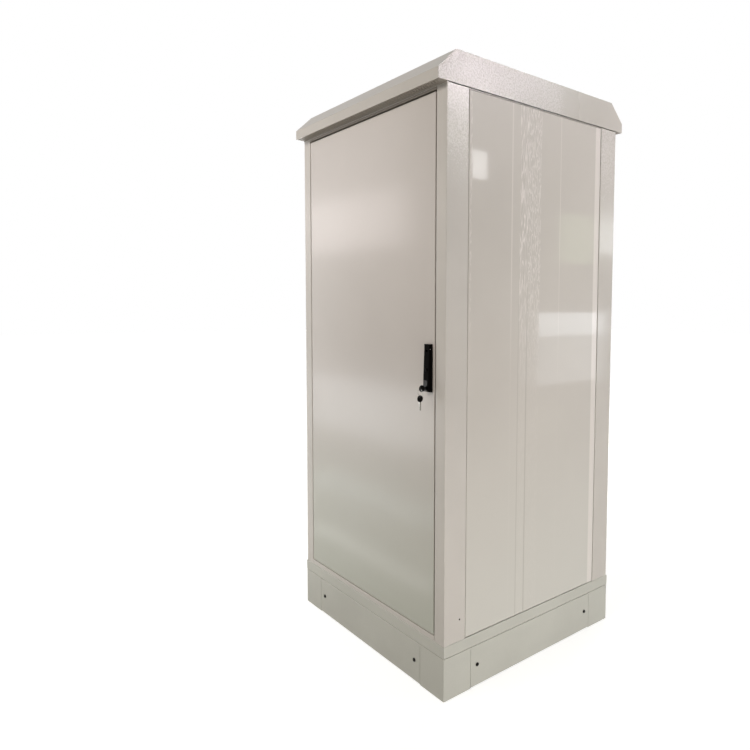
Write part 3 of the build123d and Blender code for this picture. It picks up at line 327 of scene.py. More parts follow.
@dataclass(frozen=True)
class FilmedCoat(PowderCoat):
    """Powder coat under clear stick-on film: glossy strips, bright seams, a puckered lap with painted shadow
    on its edges.

    Sizes along the panel run from the middle towards the rear, in millimetres. A share is how strongly
    a mark shows.
    """

    span_mm: float = 360.0
    front_mm: Pair = (-347.0, -339.0)
    front_share: float = 0.5
    strip_mm: Pair = (318.0, 359.0)
    strip_share: float = 0.6
    seams_mm: tuple[float, ...] = (-148.0, 110.0)
    seam_width_mm: float = 3.0
    seam_share: float = 0.5
    lap_mm: tuple[float, float, float] = (-109.0, -66.0, 0.0)
    lap_share: float = 0.85
    # Strength of the painted shadow on the lap's edges.
    edge_share: float = 0.45
    band_soft_mm: float = 0.8
    streak_mm: Pair = (8.0, 80.0)
    streak_width: float = 0.07
    cell_mm: Pair = (6.0, 34.0)
    cell_width: float = 0.08
    crease_depth_mm: float = 0.7
    fade_mm: Pair = (950.0, 1560.0)
    least_loose: float = 0.1
    seam_tone: str = "#e9e2dc"
    shadow_tone: str = "#9c978c"

    def along(self, y_mm: float) -> float:
        """Gives a place along the panel as a share of the ramp."""
        return (y_mm + self.span_mm) / (2 * self.span_mm)

    def bands(self, tree: Tree, across: Node, marks: list[tuple[float, float, float]]) -> Node:
        """Marks upright bands on the panel.

        Args:
            tree: the material's tree.
            across: the place along the panel, from 0 to 1.
            marks: start, end and strength of each band, in order.

        Returns:
            The strength, 0 between the bands.
        """
        stops = [(0.0, 0.0)]
        for start, end, strength in marks:
            stops += [(self.along(start - self.band_soft_mm), 0.0), (self.along(start), strength)]
            stops += [(self.along(end), strength), (self.along(end + self.band_soft_mm), 0.0)]
        ramp = add_node(tree, "ValToRGB", {0: across})
        elements = ramp.color_ramp.elements
        while len(elements) < len(stops):
            elements.new(1.0)
        for element, (place, grey) in zip(elements, stops):
            element.position = place
            element.color = (grey, grey, grey, 1.0)
        return ramp

    def creases(self, tree: Tree, place: Socket, size_mm: Pair, width: float) -> Node:
        """Draws thin wavy creases that run upright.

        Args:
            tree: the material's tree.
            place: object coordinates.
            size_mm: spacing across and length upright.
            width: width of a crease, as a share of the noise's range.

        Returns:
            1 on a crease, 0 between them.
        """
        across, up = (METRE / size for size in size_mm)
        folds = add_node(tree, "Mapping", {"Vector": place, "Scale": (across, across, up)})
        noise = add_node(tree, "TexNoise", {"Vector": folds, "Scale": 1.0, "Detail": 1.5})
        level = add_node(tree, "Math", {0: noise, 1: NOISE_MEAN}, operation="SUBTRACT")
        away = add_node(tree, "Math", {0: level}, operation="ABSOLUTE")
        return add_node(tree, "MapRange", {"Value": away, "From Max": width, "To Min": 1.0, "To Max": 0.0})

    def pucker(self, tree: Tree, place: Socket, across: Node) -> Node:
        """Creases the film: streaks and cells on the lap, cells at the front.

        Args:
            tree: the material's tree.
            place: object coordinates.
            across: the place along the panel, from 0 to 1.

        Returns:
            The creases' strength, 0 between them.
        """
        start, seam, end = self.lap_mm
        streaks = self.bands(tree, across, [(start, seam, 1.0)])
        cells = self.bands(tree, across, [(*self.front_mm, self.front_share), (seam, end, self.lap_share)])
        parts = []
        kinds = (streaks, self.streak_mm, self.streak_width), (cells, self.cell_mm, self.cell_width)
        for mask, size, width in kinds:
            lines = self.creases(tree, place, size, width)
            parts.append(add_node(tree, "Math", {0: mask, 1: lines}, operation="MULTIPLY"))
        return add_node(tree, "Math", {0: parts[0], 1: parts[1]}, operation="MAXIMUM")

    def shade(self, tree: Tree) -> Node:
        """The coat's colour, lighter on seams and creases, with painted shadow on the lap's edges,
        under a glossy coat with the creases as bump.

        Args:
            tree: the material's tree.

        Returns:
            The shader.
        """
        place = add_node(tree, "TexCoord").outputs["Object"]
        colour, mottle = self.tone(tree, place)
        axes = add_node(tree, "SeparateXYZ", {0: place})
        span = self.span_mm * MM
        across = add_node(tree, "MapRange", {"Value": axes.outputs[1], "From Min": -span, "From Max": span})
        low, high = (mark * MM for mark in self.fade_mm)
        rise = {"Value": axes.outputs[2], "From Min": low, "From Max": high, "To Min": self.least_loose}
        loose = add_node(tree, "MapRange", rise, interpolation_type="SMOOTHSTEP")
        creased = self.pucker(tree, place, across)
        half = self.seam_width_mm / 2
        seams = self.bands(tree, across, [(y - half, y + half, self.seam_share) for y in self.seams_mm])
        strip = self.bands(tree, across, [(*self.strip_mm, self.strip_share)])
        bright = add_node(tree, "Math", {0: creased, 1: seams}, operation="MAXIMUM")
        bright = add_node(tree, "Math", {0: bright, 1: loose}, operation="MULTIPLY")
        bright = add_node(tree, "Math", {0: bright, 1: strip}, operation="MAXIMUM")
        # Painted shadow on the lap's edges, stronger lower down.
        edges = self.bands(tree, across, [(y - half, y + half, self.edge_share) for y in self.lap_mm[:2]])
        settled = add_node(tree, "Math", {0: 1.0, 1: loose}, operation="SUBTRACT")
        shadow = add_node(tree, "Math", {0: edges, 1: settled}, operation="MULTIPLY")
        for share, tone in ((bright, self.seam_tone), (shadow, self.shadow_tone)):
            tones = {0: share, MIX_A: colour, MIX_B: linear(tone)}
            colour = add_node(tree, "Mix", tones, data_type="RGBA").outputs[MIX_OUT]
        raised = add_node(tree, "Math", {0: creased, 1: loose}, operation="MULTIPLY")
        bump = add_node(tree, "Bump", {"Height": raised, "Distance": self.crease_depth_mm * MM})
        surface = {
            "Base Color": colour,
            "Roughness": self.gloss(tree, place, mottle),
            "Normal": bump,
            "Coat Weight": self.coat,
            "Coat Roughness": self.coat_roughness,
            "Coat Normal": bump,
        }
        return add_node(tree, "BsdfPrincipled", surface)


@dataclass(frozen=True)
class ZincSheet(Finish):
    """Hot-dip galvanised sheet: frozen zinc crystals, each a slightly different grey."""

    light: str = "#c3c5c6"
    dark: str = "#9a9d9f"
    crystal_mm: float = 14.0
    roughness: Pair = (0.36, 0.52)
    tooth_mm: float = 1.5
    tooth_depth_mm: float = 0.01

    def shade(self, tree: Tree) -> Node:
        """A patchwork of crystals in tone and gloss, with a fine tooth.

        Args:
            tree: the material's tree.

        Returns:
            The shader.
        """
        place = add_node(tree, "TexCoord").outputs["Object"]
        cells = add_node(tree, "TexVoronoi", {"Vector": place, "Scale": METRE / self.crystal_mm})
        shade = add_node(tree, "SeparateColor", {0: cells.outputs["Color"]})
        tones = {0: shade, MIX_A: linear(self.dark), MIX_B: linear(self.light)}
        least, most = self.roughness
        gloss = {"Value": shade.outputs[1], "To Min": least, "To Max": most}
        tooth = add_node(tree, "TexNoise", {"Vector": place, "Scale": METRE / self.tooth_mm, "Detail": 2.0})
        surface = {
            "Base Color": add_node(tree, "Mix", tones, data_type="RGBA").outputs[MIX_OUT],
            "Metallic": 1.0,
            "Roughness": add_node(tree, "MapRange", gloss),
            "Normal": add_node(tree, "Bump", {"Height": tooth, "Distance": self.tooth_depth_mm * MM}),
        }
        return add_node(tree, "BsdfPrincipled", surface)


@dataclass(frozen=True)
class PlatedMetal(Finish):
    """Metal with a thin plated or rolled skin: fine lines along one axis, and a mottle dulled by handling."""

    light: str
    dark: str
    roughness: float
    line_mm: float = 0.6
    line_run_mm: float = 25.0
    line_depth_mm: float = 0.01
    run: Axis = Axis.Z
    roughness_share: Pair = (0.7, 1.3)
    mottle_mm: float = 30.0

    def shade(self, tree: Tree) -> Node:
        """Lines stretched along the run, a mottle in tone and gloss.

        Args:
            tree: the material's tree.

        Returns:
            The shader.
        """
        place = add_node(tree, "TexCoord").outputs["Object"]
        stretch = [METRE / (self.line_run_mm if share else self.line_mm) for share in self.run.value]
        lines = add_node(tree, "Mapping", {"Vector": place, "Scale": stretch})
        scratch = add_node(tree, "TexNoise", {"Vector": lines, "Scale": 1.0, "Detail": 2.0})
        mottle = add_node(tree, "TexNoise", {"Vector": place, "Scale": METRE / self.mottle_mm, "Detail": 4.0})
        tones = {0: mottle, MIX_A: linear(self.dark), MIX_B: linear(self.light)}
        least, most = (self.roughness * share for share in self.roughness_share)
        surface = {
            "Base Color": add_node(tree, "Mix", tones, data_type="RGBA").outputs[MIX_OUT],
            "Metallic": 1.0,
            "Roughness": add_node(tree, "MapRange", {"Value": mottle, "To Min": least, "To Max": most}),
            "Normal": add_node(tree, "Bump", {"Height": scratch, "Distance": self.line_depth_mm * MM}),
        }
        return add_node(tree, "BsdfPrincipled", surface)


@dataclass(frozen=True)
class Moulded(Finish):
    """Moulded or sprayed surface with an even small grain: plastic, rubber, black enamel."""

    light: str
    dark: str
    grain_mm: float
    grain_depth_mm: float
    rub_mm: float = 22.0
    roughness: float = 0.45
    roughness_spread: float = 0.1
    specular: float = 0.3

    def shade(self, tree: Tree) -> Node:
        """Grain as bump, and patches a little paler and glossier where they are rubbed.

        Args:
            tree: the material's tree.

        Returns:
            The shader.
        """
        place = add_node(tree, "TexCoord").outputs["Object"]
        grain = add_node(tree, "TexNoise", {"Vector": place, "Scale": METRE / self.grain_mm, "Detail": 3.0})
        rubbed = add_node(tree, "TexNoise", {"Vector": place, "Scale": METRE / self.rub_mm, "Detail": 4.0})
        tones = {0: rubbed, MIX_A: linear(self.dark), MIX_B: linear(self.light)}
        dull, worn = self.roughness + self.roughness_spread, self.roughness - self.roughness_spread
        surface = {
            "Base Color": add_node(tree, "Mix", tones, data_type="RGBA").outputs[MIX_OUT],
            "Roughness": add_node(tree, "MapRange", {"Value": rubbed, "To Min": dull, "To Max": worn}),
            "Normal": add_node(tree, "Bump", {"Height": grain, "Distance": self.grain_depth_mm * MM}),
            "Specular IOR Level": self.specular,
        }
        return add_node(tree, "BsdfPrincipled", surface)


# Coat on frame and panels: satin with a fine peel, and film left on the outer sides;
# pale flecks on crests and bubbles are painted glints.
BODY_COAT = BubbledCoat(
    "body_powder_coat",
    light="#cdc8c1",
    dark="#c6c1ba",
    glint_tone="#f0eaea",
    grain_mm=2.5,
    grain_depth_mm=0.012,
    glint_share=0.3,
    bubble_depth_mm=0.7,
    rear_mm=(900.0, 800.0),
    roughness=0.33,
)
# Coat on the plinth: a coarser spray, a little duller.
PLINTH_COAT = PowderCoat(
    "plinth_powder_coat", light="#c4c4bb", dark="#bcbcb3", grain_mm=4.0, grain_depth_mm=0.04, glint_share=0.1
)
# Coat on the hood: as on the frame, with deeper bubbles that sparkle, partly by painted glints.
ROOF_COAT = BubbledCoat(
    "roof_powder_coat",
    light="#c9c4bd",
    dark="#c1bcb4",
    glint_tone="#f4eeee",
    grain_mm=2.5,
    grain_depth_mm=0.012,
    glint_share=0.38,
    roughness=0.32,
)
# Coat under the eaves and on the headers: fine-grained and flat, darker and browner as painted shade
# of the eaves, with faint painted glints.
EAVES_SHADE_COAT = PowderCoat(
    "eaves_painted_shade_coat", light="#9d958b", dark="#928a80", glint_tone="#a49c92", grain_depth_mm=0.02, roughness=0.5
)
# Coat on the door: flowed out smooth, so that it mirrors softly. Towards the bottom it turns darker
# and greener as painted floor reflection; faint pale flecks on crests are painted glints.
DOOR_COAT = PowderCoat(
    "door_powder_coat",
    light="#c7c0b9",
    dark="#c1bab3",
    glint_tone="#cdc6bf",
    low="#b5b8ab",
    floor_light_share=1.0,
    floor_light_top_mm=1100.0,
    mottle_mm=420.0,
    grain_mm=2.5,
    grain_depth_mm=0.008,
    glint_share=0.08,
    roughness=0.4,
    coat=0.5,
    coat_roughness=0.17,
)
# Coat on the side panels under film: it mirrors clearly. Towards the bottom it turns paler as painted light
# from the floor.
SIDE_COAT = FilmedCoat(
    "side_coat_under_film",
    light="#c9c3bb",
    dark="#c3bdb5",
    low="#cdcbc3",
    floor_light_share=1.0,
    floor_light_top_mm=1200.0,
    mottle_mm=340.0,
    roughness=0.42,
    coat=0.6,
    coat_roughness=0.06,
)
ZINC_SHEET = ZincSheet("galvanised_sheet")
# Electroplated metals: cool grey zinc, black zinc with a low sheen, bright warm nickel, and chrome darkened
# in colour as painted reflection of the dark lock face.
ZINC_STEEL = PlatedMetal("zinc_plated_steel", light="#c2c3c4", dark="#97999a", roughness=0.32)
BLACK_ZINC = PlatedMetal("black_zinc_plate", light="#3a3836", dark="#161514", roughness=0.3, mottle_mm=6.0)
NICKEL = PlatedMetal(
    "nickel_plate", light="#d2d1cc", dark="#a9a8a3", roughness=0.16, line_run_mm=8.0, mottle_mm=9.0
)
CHROME_PAINTED_DARK = PlatedMetal(
    "lock_chrome_painted_reflection", light="#4c4b49", dark="#211f1e", roughness=0.24, line_run_mm=8.0, mottle_mm=5.0
)
# Rolled copper bar: red-brown, with lines along the roll.
COPPER = PlatedMetal("rolled_copper", light="#c88a63", dark="#8f5539", roughness=0.3, run=Axis.Y)
# Enamel baked on a cast lever: deep even black.
LEVER_ENAMEL = Moulded(
    "lever_black_enamel",
    light="#100e0d",
    dark="#070605",
    grain_mm=0.9,
    grain_depth_mm=0.02,
    roughness=0.3,
    specular=0.02,
)
# Moulded plastic: black with an eroded grain.
BLACK_PLASTIC = Moulded(
    "grained_black_plastic", light="#151413", dark="#0a0908", grain_mm=1.1, grain_depth_mm=0.05, specular=0.04
)
# Extruded rubber: matt, with a grey bloom.
RUBBER = Moulded(
    "sealing_rubber", light="#2a2928", dark="#171615", grain_mm=1.6, grain_depth_mm=0.08, roughness=0.75
)
# Moulded resin: red and half glossy.
RED_RESIN = Moulded(
    "red_insulator_resin",
    light="#a8382a",
    dark="#86241a",
    grain_mm=0.8,
    grain_depth_mm=0.01,
    roughness=0.35,
    specular=0.5,
)


def select(*pieces: Piece) -> None:
    """Selects these pieces only, with the first as the active one.

    Args:
        pieces: what to select.
    """
    bpy.ops.object.select_all(action="DESELECT")
    for piece in pieces:
        piece.select_set(True)
    bpy.context.view_layer.objects.active = pieces[0]


def settle(name: str) -> Piece:
    """Names the selected piece and moves its place, turn and size into its mesh.

    Args:
        name: the piece's name.

    Returns:
        The piece.
    """
    piece = bpy.context.object
    piece.name = piece.data.name = name
    bpy.ops.object.transform_apply(location=True, rotation=True, scale=True)
    return piece


def block(name: str, low: Vector, high: Vector) -> Piece:
    """Adds a box.

    Args:
        name: the box's name.
        low: its lowest corner, in metres.
        high: its highest corner.

    Returns:
        The box, with its place in its mesh.
    """
    bpy.ops.mesh.primitive_cube_add(size=1, location=(low + high) / 2)
    bpy.context.object.scale = high - low
    return settle(name)


def drum(name: str, centre: Vector, radius: float, depth: float, sides: int, turn: Euler) -> Piece:
    """Adds a drum.

    Args:
        name: the drum's name.
        centre: its middle.
        radius: from its axis to its corners.
        depth: along its axis.
        sides: number of flats.
        turn: turn from Z to its axis.

    Returns:
        The drum, with its place in its mesh.
    """
    sizes = {"vertices": sides, "radius": radius, "depth": depth}
    bpy.ops.mesh.primitive_cylinder_add(**sizes, location=centre, rotation=turn)
    return settle(name)


@contextmanager
def editing(piece: Piece, kind: Pick = Pick.FACES) -> Iterator[None]:
    """Opens a piece in edit mode with nothing picked, and leaves edit mode afterwards.

    Args:
        piece: what to edit.
        kind: what will be picked.
    """
    select(piece)
    bpy.ops.object.mode_set(mode="EDIT")
    bpy.ops.mesh.select_mode(type=kind.value)
    bpy.ops.mesh.select_all(action="DESELECT")
    yield
    bpy.ops.object.mode_set(mode="OBJECT")


def pick(piece: Piece, kind: Pick, test: Callable[[Part], bool]) -> None:
    """Picks faces or edges of an opened piece, and no others.

    Args:
        piece: the opened piece.
        kind: what to pick.
        test: says if a face or an edge is picked.
    """
    mesh = bmesh.from_edit_mesh(piece.data)
    parts = mesh.faces if kind is Pick.FACES else mesh.edges
    for part in parts:
        part.select_set(False)
    for part in parts:
        if test(part):
            part.select_set(True)
    bmesh.update_edit_mesh(piece.data)


def runs(edge: bmesh.types.BMEdge, axis: Axis) -> bool:
    """Says if an edge reaches more than a millimetre along an axis."""
    return abs((edge.verts[0].co - edge.verts[1].co).dot(axis.value)) > MM


def chamfer_ends(piece: Piece, width: float) -> Piece:
    """Breaks the edges of both ends of a piece whose axis is X.

    Args:
        piece: what to chamfer.
        width: width of the chamfer.

    Returns:
        The piece.
    """
    with editing(piece):
        pick(piece, Pick.FACES, lambda face: abs(face.normal.x) > FACING)
        bpy.ops.mesh.bevel(offset=width, segments=1, affect="EDGES")
    return piece


def tidy(piece: Piece) -> None:
    """Merges doubles, turns faces outwards and smooths the shading of soft edges.

    Args:
        piece: what to tidy.
    """
    with editing(piece, Pick.VERTS):
        bpy.ops.mesh.select_all(action="SELECT")
        bpy.ops.mesh.remove_doubles(threshold=WELD)
        bpy.ops.mesh.normals_make_consistent(inside=False)
    bpy.ops.object.shade_smooth_by_angle(angle=SOFT)


def copy(piece: Piece, name: str, shift: Vector) -> Piece:
    """Copies a piece with its mesh.

    Args:
        piece: what to copy.
        name: the copy's name.
        shift: from the piece to its copy.

    Returns:
        The copy, with its place in its mesh.
    """
    select(piece)
    bpy.ops.object.duplicate(linked=False)
    bpy.context.object.location = shift
    return settle(name)


def cut(piece: Piece, cutter: Piece) -> None:
    """Takes one shape out of another by an applied Boolean, and removes the cutter.

    Args:
        piece: what is cut.
        cutter: what is taken out.
    """
    select(piece)
    bpy.ops.object.modifier_add(type="BOOLEAN")
    tool = piece.modifiers[-1]
    tool.operation = "DIFFERENCE"
    tool.object = cutter
    bpy.ops.object.modifier_apply(modifier=tool.name)
    bpy.data.objects.remove(cutter)


def mount(piece: Piece, body: Body, slot: str, finish: Finish, *stands_for: str) -> None:
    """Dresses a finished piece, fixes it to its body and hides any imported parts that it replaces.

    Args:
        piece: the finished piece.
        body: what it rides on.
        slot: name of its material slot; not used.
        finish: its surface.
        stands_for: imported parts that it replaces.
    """
    finish.dress(piece)
    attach(piece, body.value)
    if stands_for:
        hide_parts(*stands_for)
    log.info("piece %s rides on %s", piece.name, body.value)


class SubAssembly:
    """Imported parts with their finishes, and the pieces that are built on them."""

    finishes: ClassVar[tuple[tuple[Finish | str, ...], ...]] = ()

    def dress(self) -> None:
        """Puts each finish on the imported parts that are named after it."""
        for finish, *names in self.finishes:
            finish.dress(*(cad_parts[name] for name in names))
            log.info("%s on %s", finish.name, ", ".join(names))

    def build(self) -> None:
        """Builds the pieces, where there are any."""


@dataclass
class Plinth(SubAssembly):
    """Legs, covers, base rails, floor plates and the rubber on the cable slot."""

    edging_wall: float = 2.5 * MM
    edging_lap: float = 8.0 * MM
    edging_nose: float = 1.0 * MM

    finishes = (
        (PLINTH_COAT, "plinth_legs", "plinth_cover_front", "plinth_cover_right"),
        (PLINTH_COAT, "plinth_cover_rear", "plinth_cover_left", "base_rails"),
        (ZINC_SHEET, "floor_plate_front", "floor_plate_rear"),
        (BLACK_ZINC, "plinth_screws"),
    )

    def build(self) -> None:
        """Rubber channels over both edges of the cable slot, with rounded lips that grip the plate."""
        low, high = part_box("cable_slot_edges")
        spare = Vector((OVERRUN, 0, 0))
        for name, outer, inward in (("front", low.y, 1), ("rear", high.y, -1)):
            near, far = sorted((outer, outer + inward * (self.edging_lap + self.edging_wall)))
            start, end = Vector((low.x, near, low.z)), Vector((high.x, far, high.z))
            strip = block(f"slot_edging_{name}", start, end)
            with editing(strip, Pick.EDGES):
                pick(strip, Pick.EDGES, lambda edge: runs(edge, Axis.X))
                bpy.ops.mesh.bevel(offset=self.edging_nose, segments=3, affect="EDGES")
            near, far = sorted((outer - inward * OVERRUN, outer + inward * self.edging_lap))
            groove_low = Vector((low.x, near, low.z + self.edging_wall)) - spare
            groove_high = Vector((high.x, far, high.z - self.edging_wall)) + spare
            cut(strip, block("groove", groove_low, groove_high))
            tidy(strip)
            mount(strip, Body.CABINET, "seal_rubber", RUBBER, "cable_slot_edges")


@dataclass
class Carcass(SubAssembly):
    """Posts, frame, panels, seals behind the panels and the screws of the rear panel."""

    screw_radius: float = 5.5 * MM
    screw_height: float = 2.6 * MM
    screw_round: float = 0.8 * MM
    socket_radius: float = 2.4 * MM
    socket_depth: float = 1.6 * MM
    screw_inset: float = 24.0 * MM
    screw_rows: int = 5
    seal_width: float = 10.0 * MM
    seal_round: float = 0.8 * MM
    seal_thick: float = 2.0 * MM

    finishes = (
        (BODY_COAT, "post_front_right", "post_front_left", "post_rear_right", "post_rear_left"),
        (BODY_COAT, "sills", "door_frame", "rear_panel", "top_plate"),
        # The headers take the darkened eaves coat: painted shade under the eaves.
        (EAVES_SHADE_COAT, "headers"),
        (SIDE_COAT, "side_panel_right", "side_panel_left"),
        (ZINC_SHEET, "side_stiffeners"),
        (BLACK_PLASTIC, "hole_plugs"),
    )

    def build(self) -> None:
        """Seals and screws."""
        self.build_seals()
        self.build_rear_screws()

    def build_seals(self) -> None:
        """Rubber strips with rounded edges, between the side panels and the posts' seats."""
        low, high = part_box("panel_seals")
        end = Vector((low.x + self.seal_thick, low.y + self.seal_width, high.z))
        strip = block("panel_seal_1", low, end)
        with editing(strip, Pick.EDGES):
            pick(strip, Pick.EDGES, lambda edge: runs(edge, Axis.Z))
            bpy.ops.mesh.bevel(offset=self.seal_round, segments=2, affect="EDGES")
        tidy(strip)
        shift = high - low - Vector((self.seal_thick, self.seal_width, 0))
        for number, share in enumerate(((0, 0), (1, 0), (0, 1), (1, 1)), 1):
            piece = strip
            if number > 1:
                move = Vector((share[0] * shift.x, share[1] * shift.y, 0))
                piece = copy(strip, f"panel_seal_{number}", move)
            mount(piece, Body.CABINET, "seal_rubber", RUBBER, "panel_seals")

    def build_rear_screws(self) -> None:
        """Socket screws down both edges of the rear panel."""
        low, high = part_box("rear_panel")
        step = (high.z - low.z - 2 * self.screw_inset) / (self.screw_rows - 1)
        first = Vector((low.x + self.screw_inset, high.y + self.screw_height / 2, low.z + self.screw_inset))
        screw = drum("rear_screw_1_1", first, self.screw_radius, self.screw_height, ROUND_SIDES, TO_Y)
        with editing(screw):
            pick(screw, Pick.FACES, lambda face: face.normal.y > FACING)
            bpy.ops.mesh.bevel(offset=self.screw_round, segments=2, affect="EDGES")
            pick(screw, Pick.FACES, lambda face: face.normal.y > FACING and len(face.verts) == ROUND_SIDES)
            bpy.ops.mesh.inset(thickness=self.screw_radius - self.screw_round - self.socket_radius)
            bpy.ops.mesh.extrude_region_move(TRANSFORM_OT_translate={"value": (0, -self.socket_depth, 0)})
        tidy(screw)
        for column in range(2):
            for row in range(self.screw_rows):
                piece = screw
                if column or row:
                    shift = Vector((column * (high.x - low.x - 2 * self.screw_inset), 0, row * step))
                    piece = copy(screw, f"rear_screw_{column + 1}_{row + 1}", shift)
                mount(piece, Body.CABINET, "black_screw", BLACK_ZINC)


class Roof(SubAssembly):
    """Hood, its supports and the perforated eaves."""

    finishes = (
        (ROOF_COAT, "roof_hood"),
        # The eaves take the darkened coat: painted shade.
        (EAVES_SHADE_COAT, "eaves_vent_front", "eaves_vent_rear"),
        (ZINC_SHEET, "roof_supports"),
    )


@dataclass
class Door(SubAssembly):
    """Skin, inner frame, hinges and the rubber seal."""

    seal_width: float = 12.5 * MM
    lip_width: float = 3.2 * MM
    groove_depth: float = 1.6 * MM
    lip_round: float = 1.3 * MM

    finishes = (
        (DOOR_COAT, "door_panel", "door_returns"),
        (ZINC_SHEET, "door_inner_frame"),
        (ZINC_STEEL, "hinge_door_leaves", "hinge_frame_arms", "hinge_pins"),
    )

    def build(self) -> None:
        """Rubber ring with two rounded lips and a groove between them, mitred at the corners."""
        low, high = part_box("door_gasket")
        ring = block("door_seal", low, high)
        with editing(ring):
            pick(ring, Pick.FACES, lambda face: abs(face.normal.y) > FACING)
            bpy.ops.mesh.inset(thickness=self.seal_width, use_individual=True)
            bpy.ops.mesh.delete(type="FACE")
            bpy.ops.mesh.select_mode(type="EDGE")
            bpy.ops.mesh.select_non_manifold()
            bpy.ops.mesh.bridge_edge_loops()
            bpy.ops.mesh.select_all(action="SELECT")
            bpy.ops.mesh.normals_make_consistent(inside=False)
            bpy.ops.mesh.select_mode(type="FACE")
            pick(ring, Pick.FACES, lambda face: face.normal.y > FACING)
            bpy.ops.mesh.inset(thickness=self.lip_width)
            bpy.ops.mesh.extrude_region_move(TRANSFORM_OT_translate={"value": (0, -self.groove_depth, 0)})
            bpy.ops.mesh.select_mode(type="EDGE")
            top = high.y - TOUCH
            pick(
                ring,
                Pick.EDGES,
                lambda edge: edge.calc_face_angle(0) > SHARP and all(vert.co.y > top for vert in edge.verts),
            )
            bpy.ops.mesh.bevel(offset=self.lip_round, segments=3, affect="EDGES")
        tidy(ring)
        mount(ring, Body.DOOR, "seal_rubber", RUBBER, "door_gasket")


class RodLock(SubAssembly):
    """Escutcheon, lever, cylinder, cam and rods."""

    finishes = (
        (BLACK_PLASTIC, "lock_plate", "release_button"),
        (LEVER_ENAMEL, "handle_lever", "handle_hub"),
        # Cylinder and plug: chrome darkened in colour, a painted reflection of the dark lock face.
        (CHROME_PAINTED_DARK, "lock_cylinder", "lock_plug"),
        (ZINC_STEEL, "lever_pin", "lock_clamp_plate", "lock_screws", "lock_cam"),
        (ZINC_STEEL, "lock_rod_upper", "lock_rod_lower", "rod_guides"),
    )


@dataclass
class KeySet(SubAssembly):
    """The key in the lock, the ring and the spare key."""

    cuts_mm: tuple[float, ...] = (1.6, 0.6, 2.0, 1.1, 1.8, 0.4)
    cut_pitch: float = 3.3 * MM
    cut_half: float = 0.4 * MM
    first_cut: float = 5.0 * MM
    tip: float = 2.4 * MM
    groove_width: float = 1.6 * MM
    groove_depth: float = 0.5 * MM
    groove_off: float = 1.0 * MM

    finishes = (
        (BLACK_PLASTIC, "key_bow", "spare_key_bow"),
        (NICKEL, "key_blade", "key_ring"),
    )

    def build(self) -> None:
        """Flat blade with a groove on both sides, a blunt tip and a row of cuts."""
        low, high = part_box("spare_key_blade")
        blade = block("spare_blade", low, high)
        levels = [low.z + self.first_cut + n * self.cut_pitch for n in range(len(self.cuts_mm))]
        flats = [(level - self.cut_half, level + self.cut_half) for level in levels]
        with editing(blade, Pick.VERTS):
            for level in [mark for pair in flats for mark in pair]:
                bpy.ops.mesh.select_all(action="SELECT")
                bpy.ops.mesh.bisect(plane_co=(0, 0, level), plane_no=(0, 0, 1))
            for (start, end), depth in zip(flats, self.cuts_mm):
                bpy.ops.mesh.select_all(action="DESELECT")
                mesh = bmesh.from_edit_mesh(blade.data)
                for vert in mesh.verts:
                    if start - TOUCH < vert.co.z < end + TOUCH and vert.co.y < low.y + TOUCH:
                        vert.select_set(True)
                mesh.select_flush_mode()
                bmesh.update_edit_mesh(blade.data)
                bpy.ops.transform.translate(value=(0, depth * MM, 0))
            bpy.ops.mesh.select_mode(type="EDGE")
            foot = low.z + TOUCH
            pick(
                blade,
                Pick.EDGES,
                lambda edge: runs(edge, Axis.X) and all(vert.co.z < foot for vert in edge.verts),
            )
            bpy.ops.mesh.bevel(offset=self.tip, segments=2, affect="EDGES")
        middle = (low.y + high.y) / 2 + self.groove_off
        for face, outward in ((low.x, -1), (high.x, 1)):
            near, far = sorted((face + outward * OVERRUN, face - outward * self.groove_depth))
            groove_low = Vector((near, middle - self.groove_width / 2, low.z - OVERRUN))
            groove_high = Vector((far, middle + self.groove_width / 2, high.z + OVERRUN))
            cut(blade, block("groove", groove_low, groove_high))
        tidy(blade)
        mount(blade, Body.KEY_RING, "key_metal", NICKEL, "spare_key_blade")


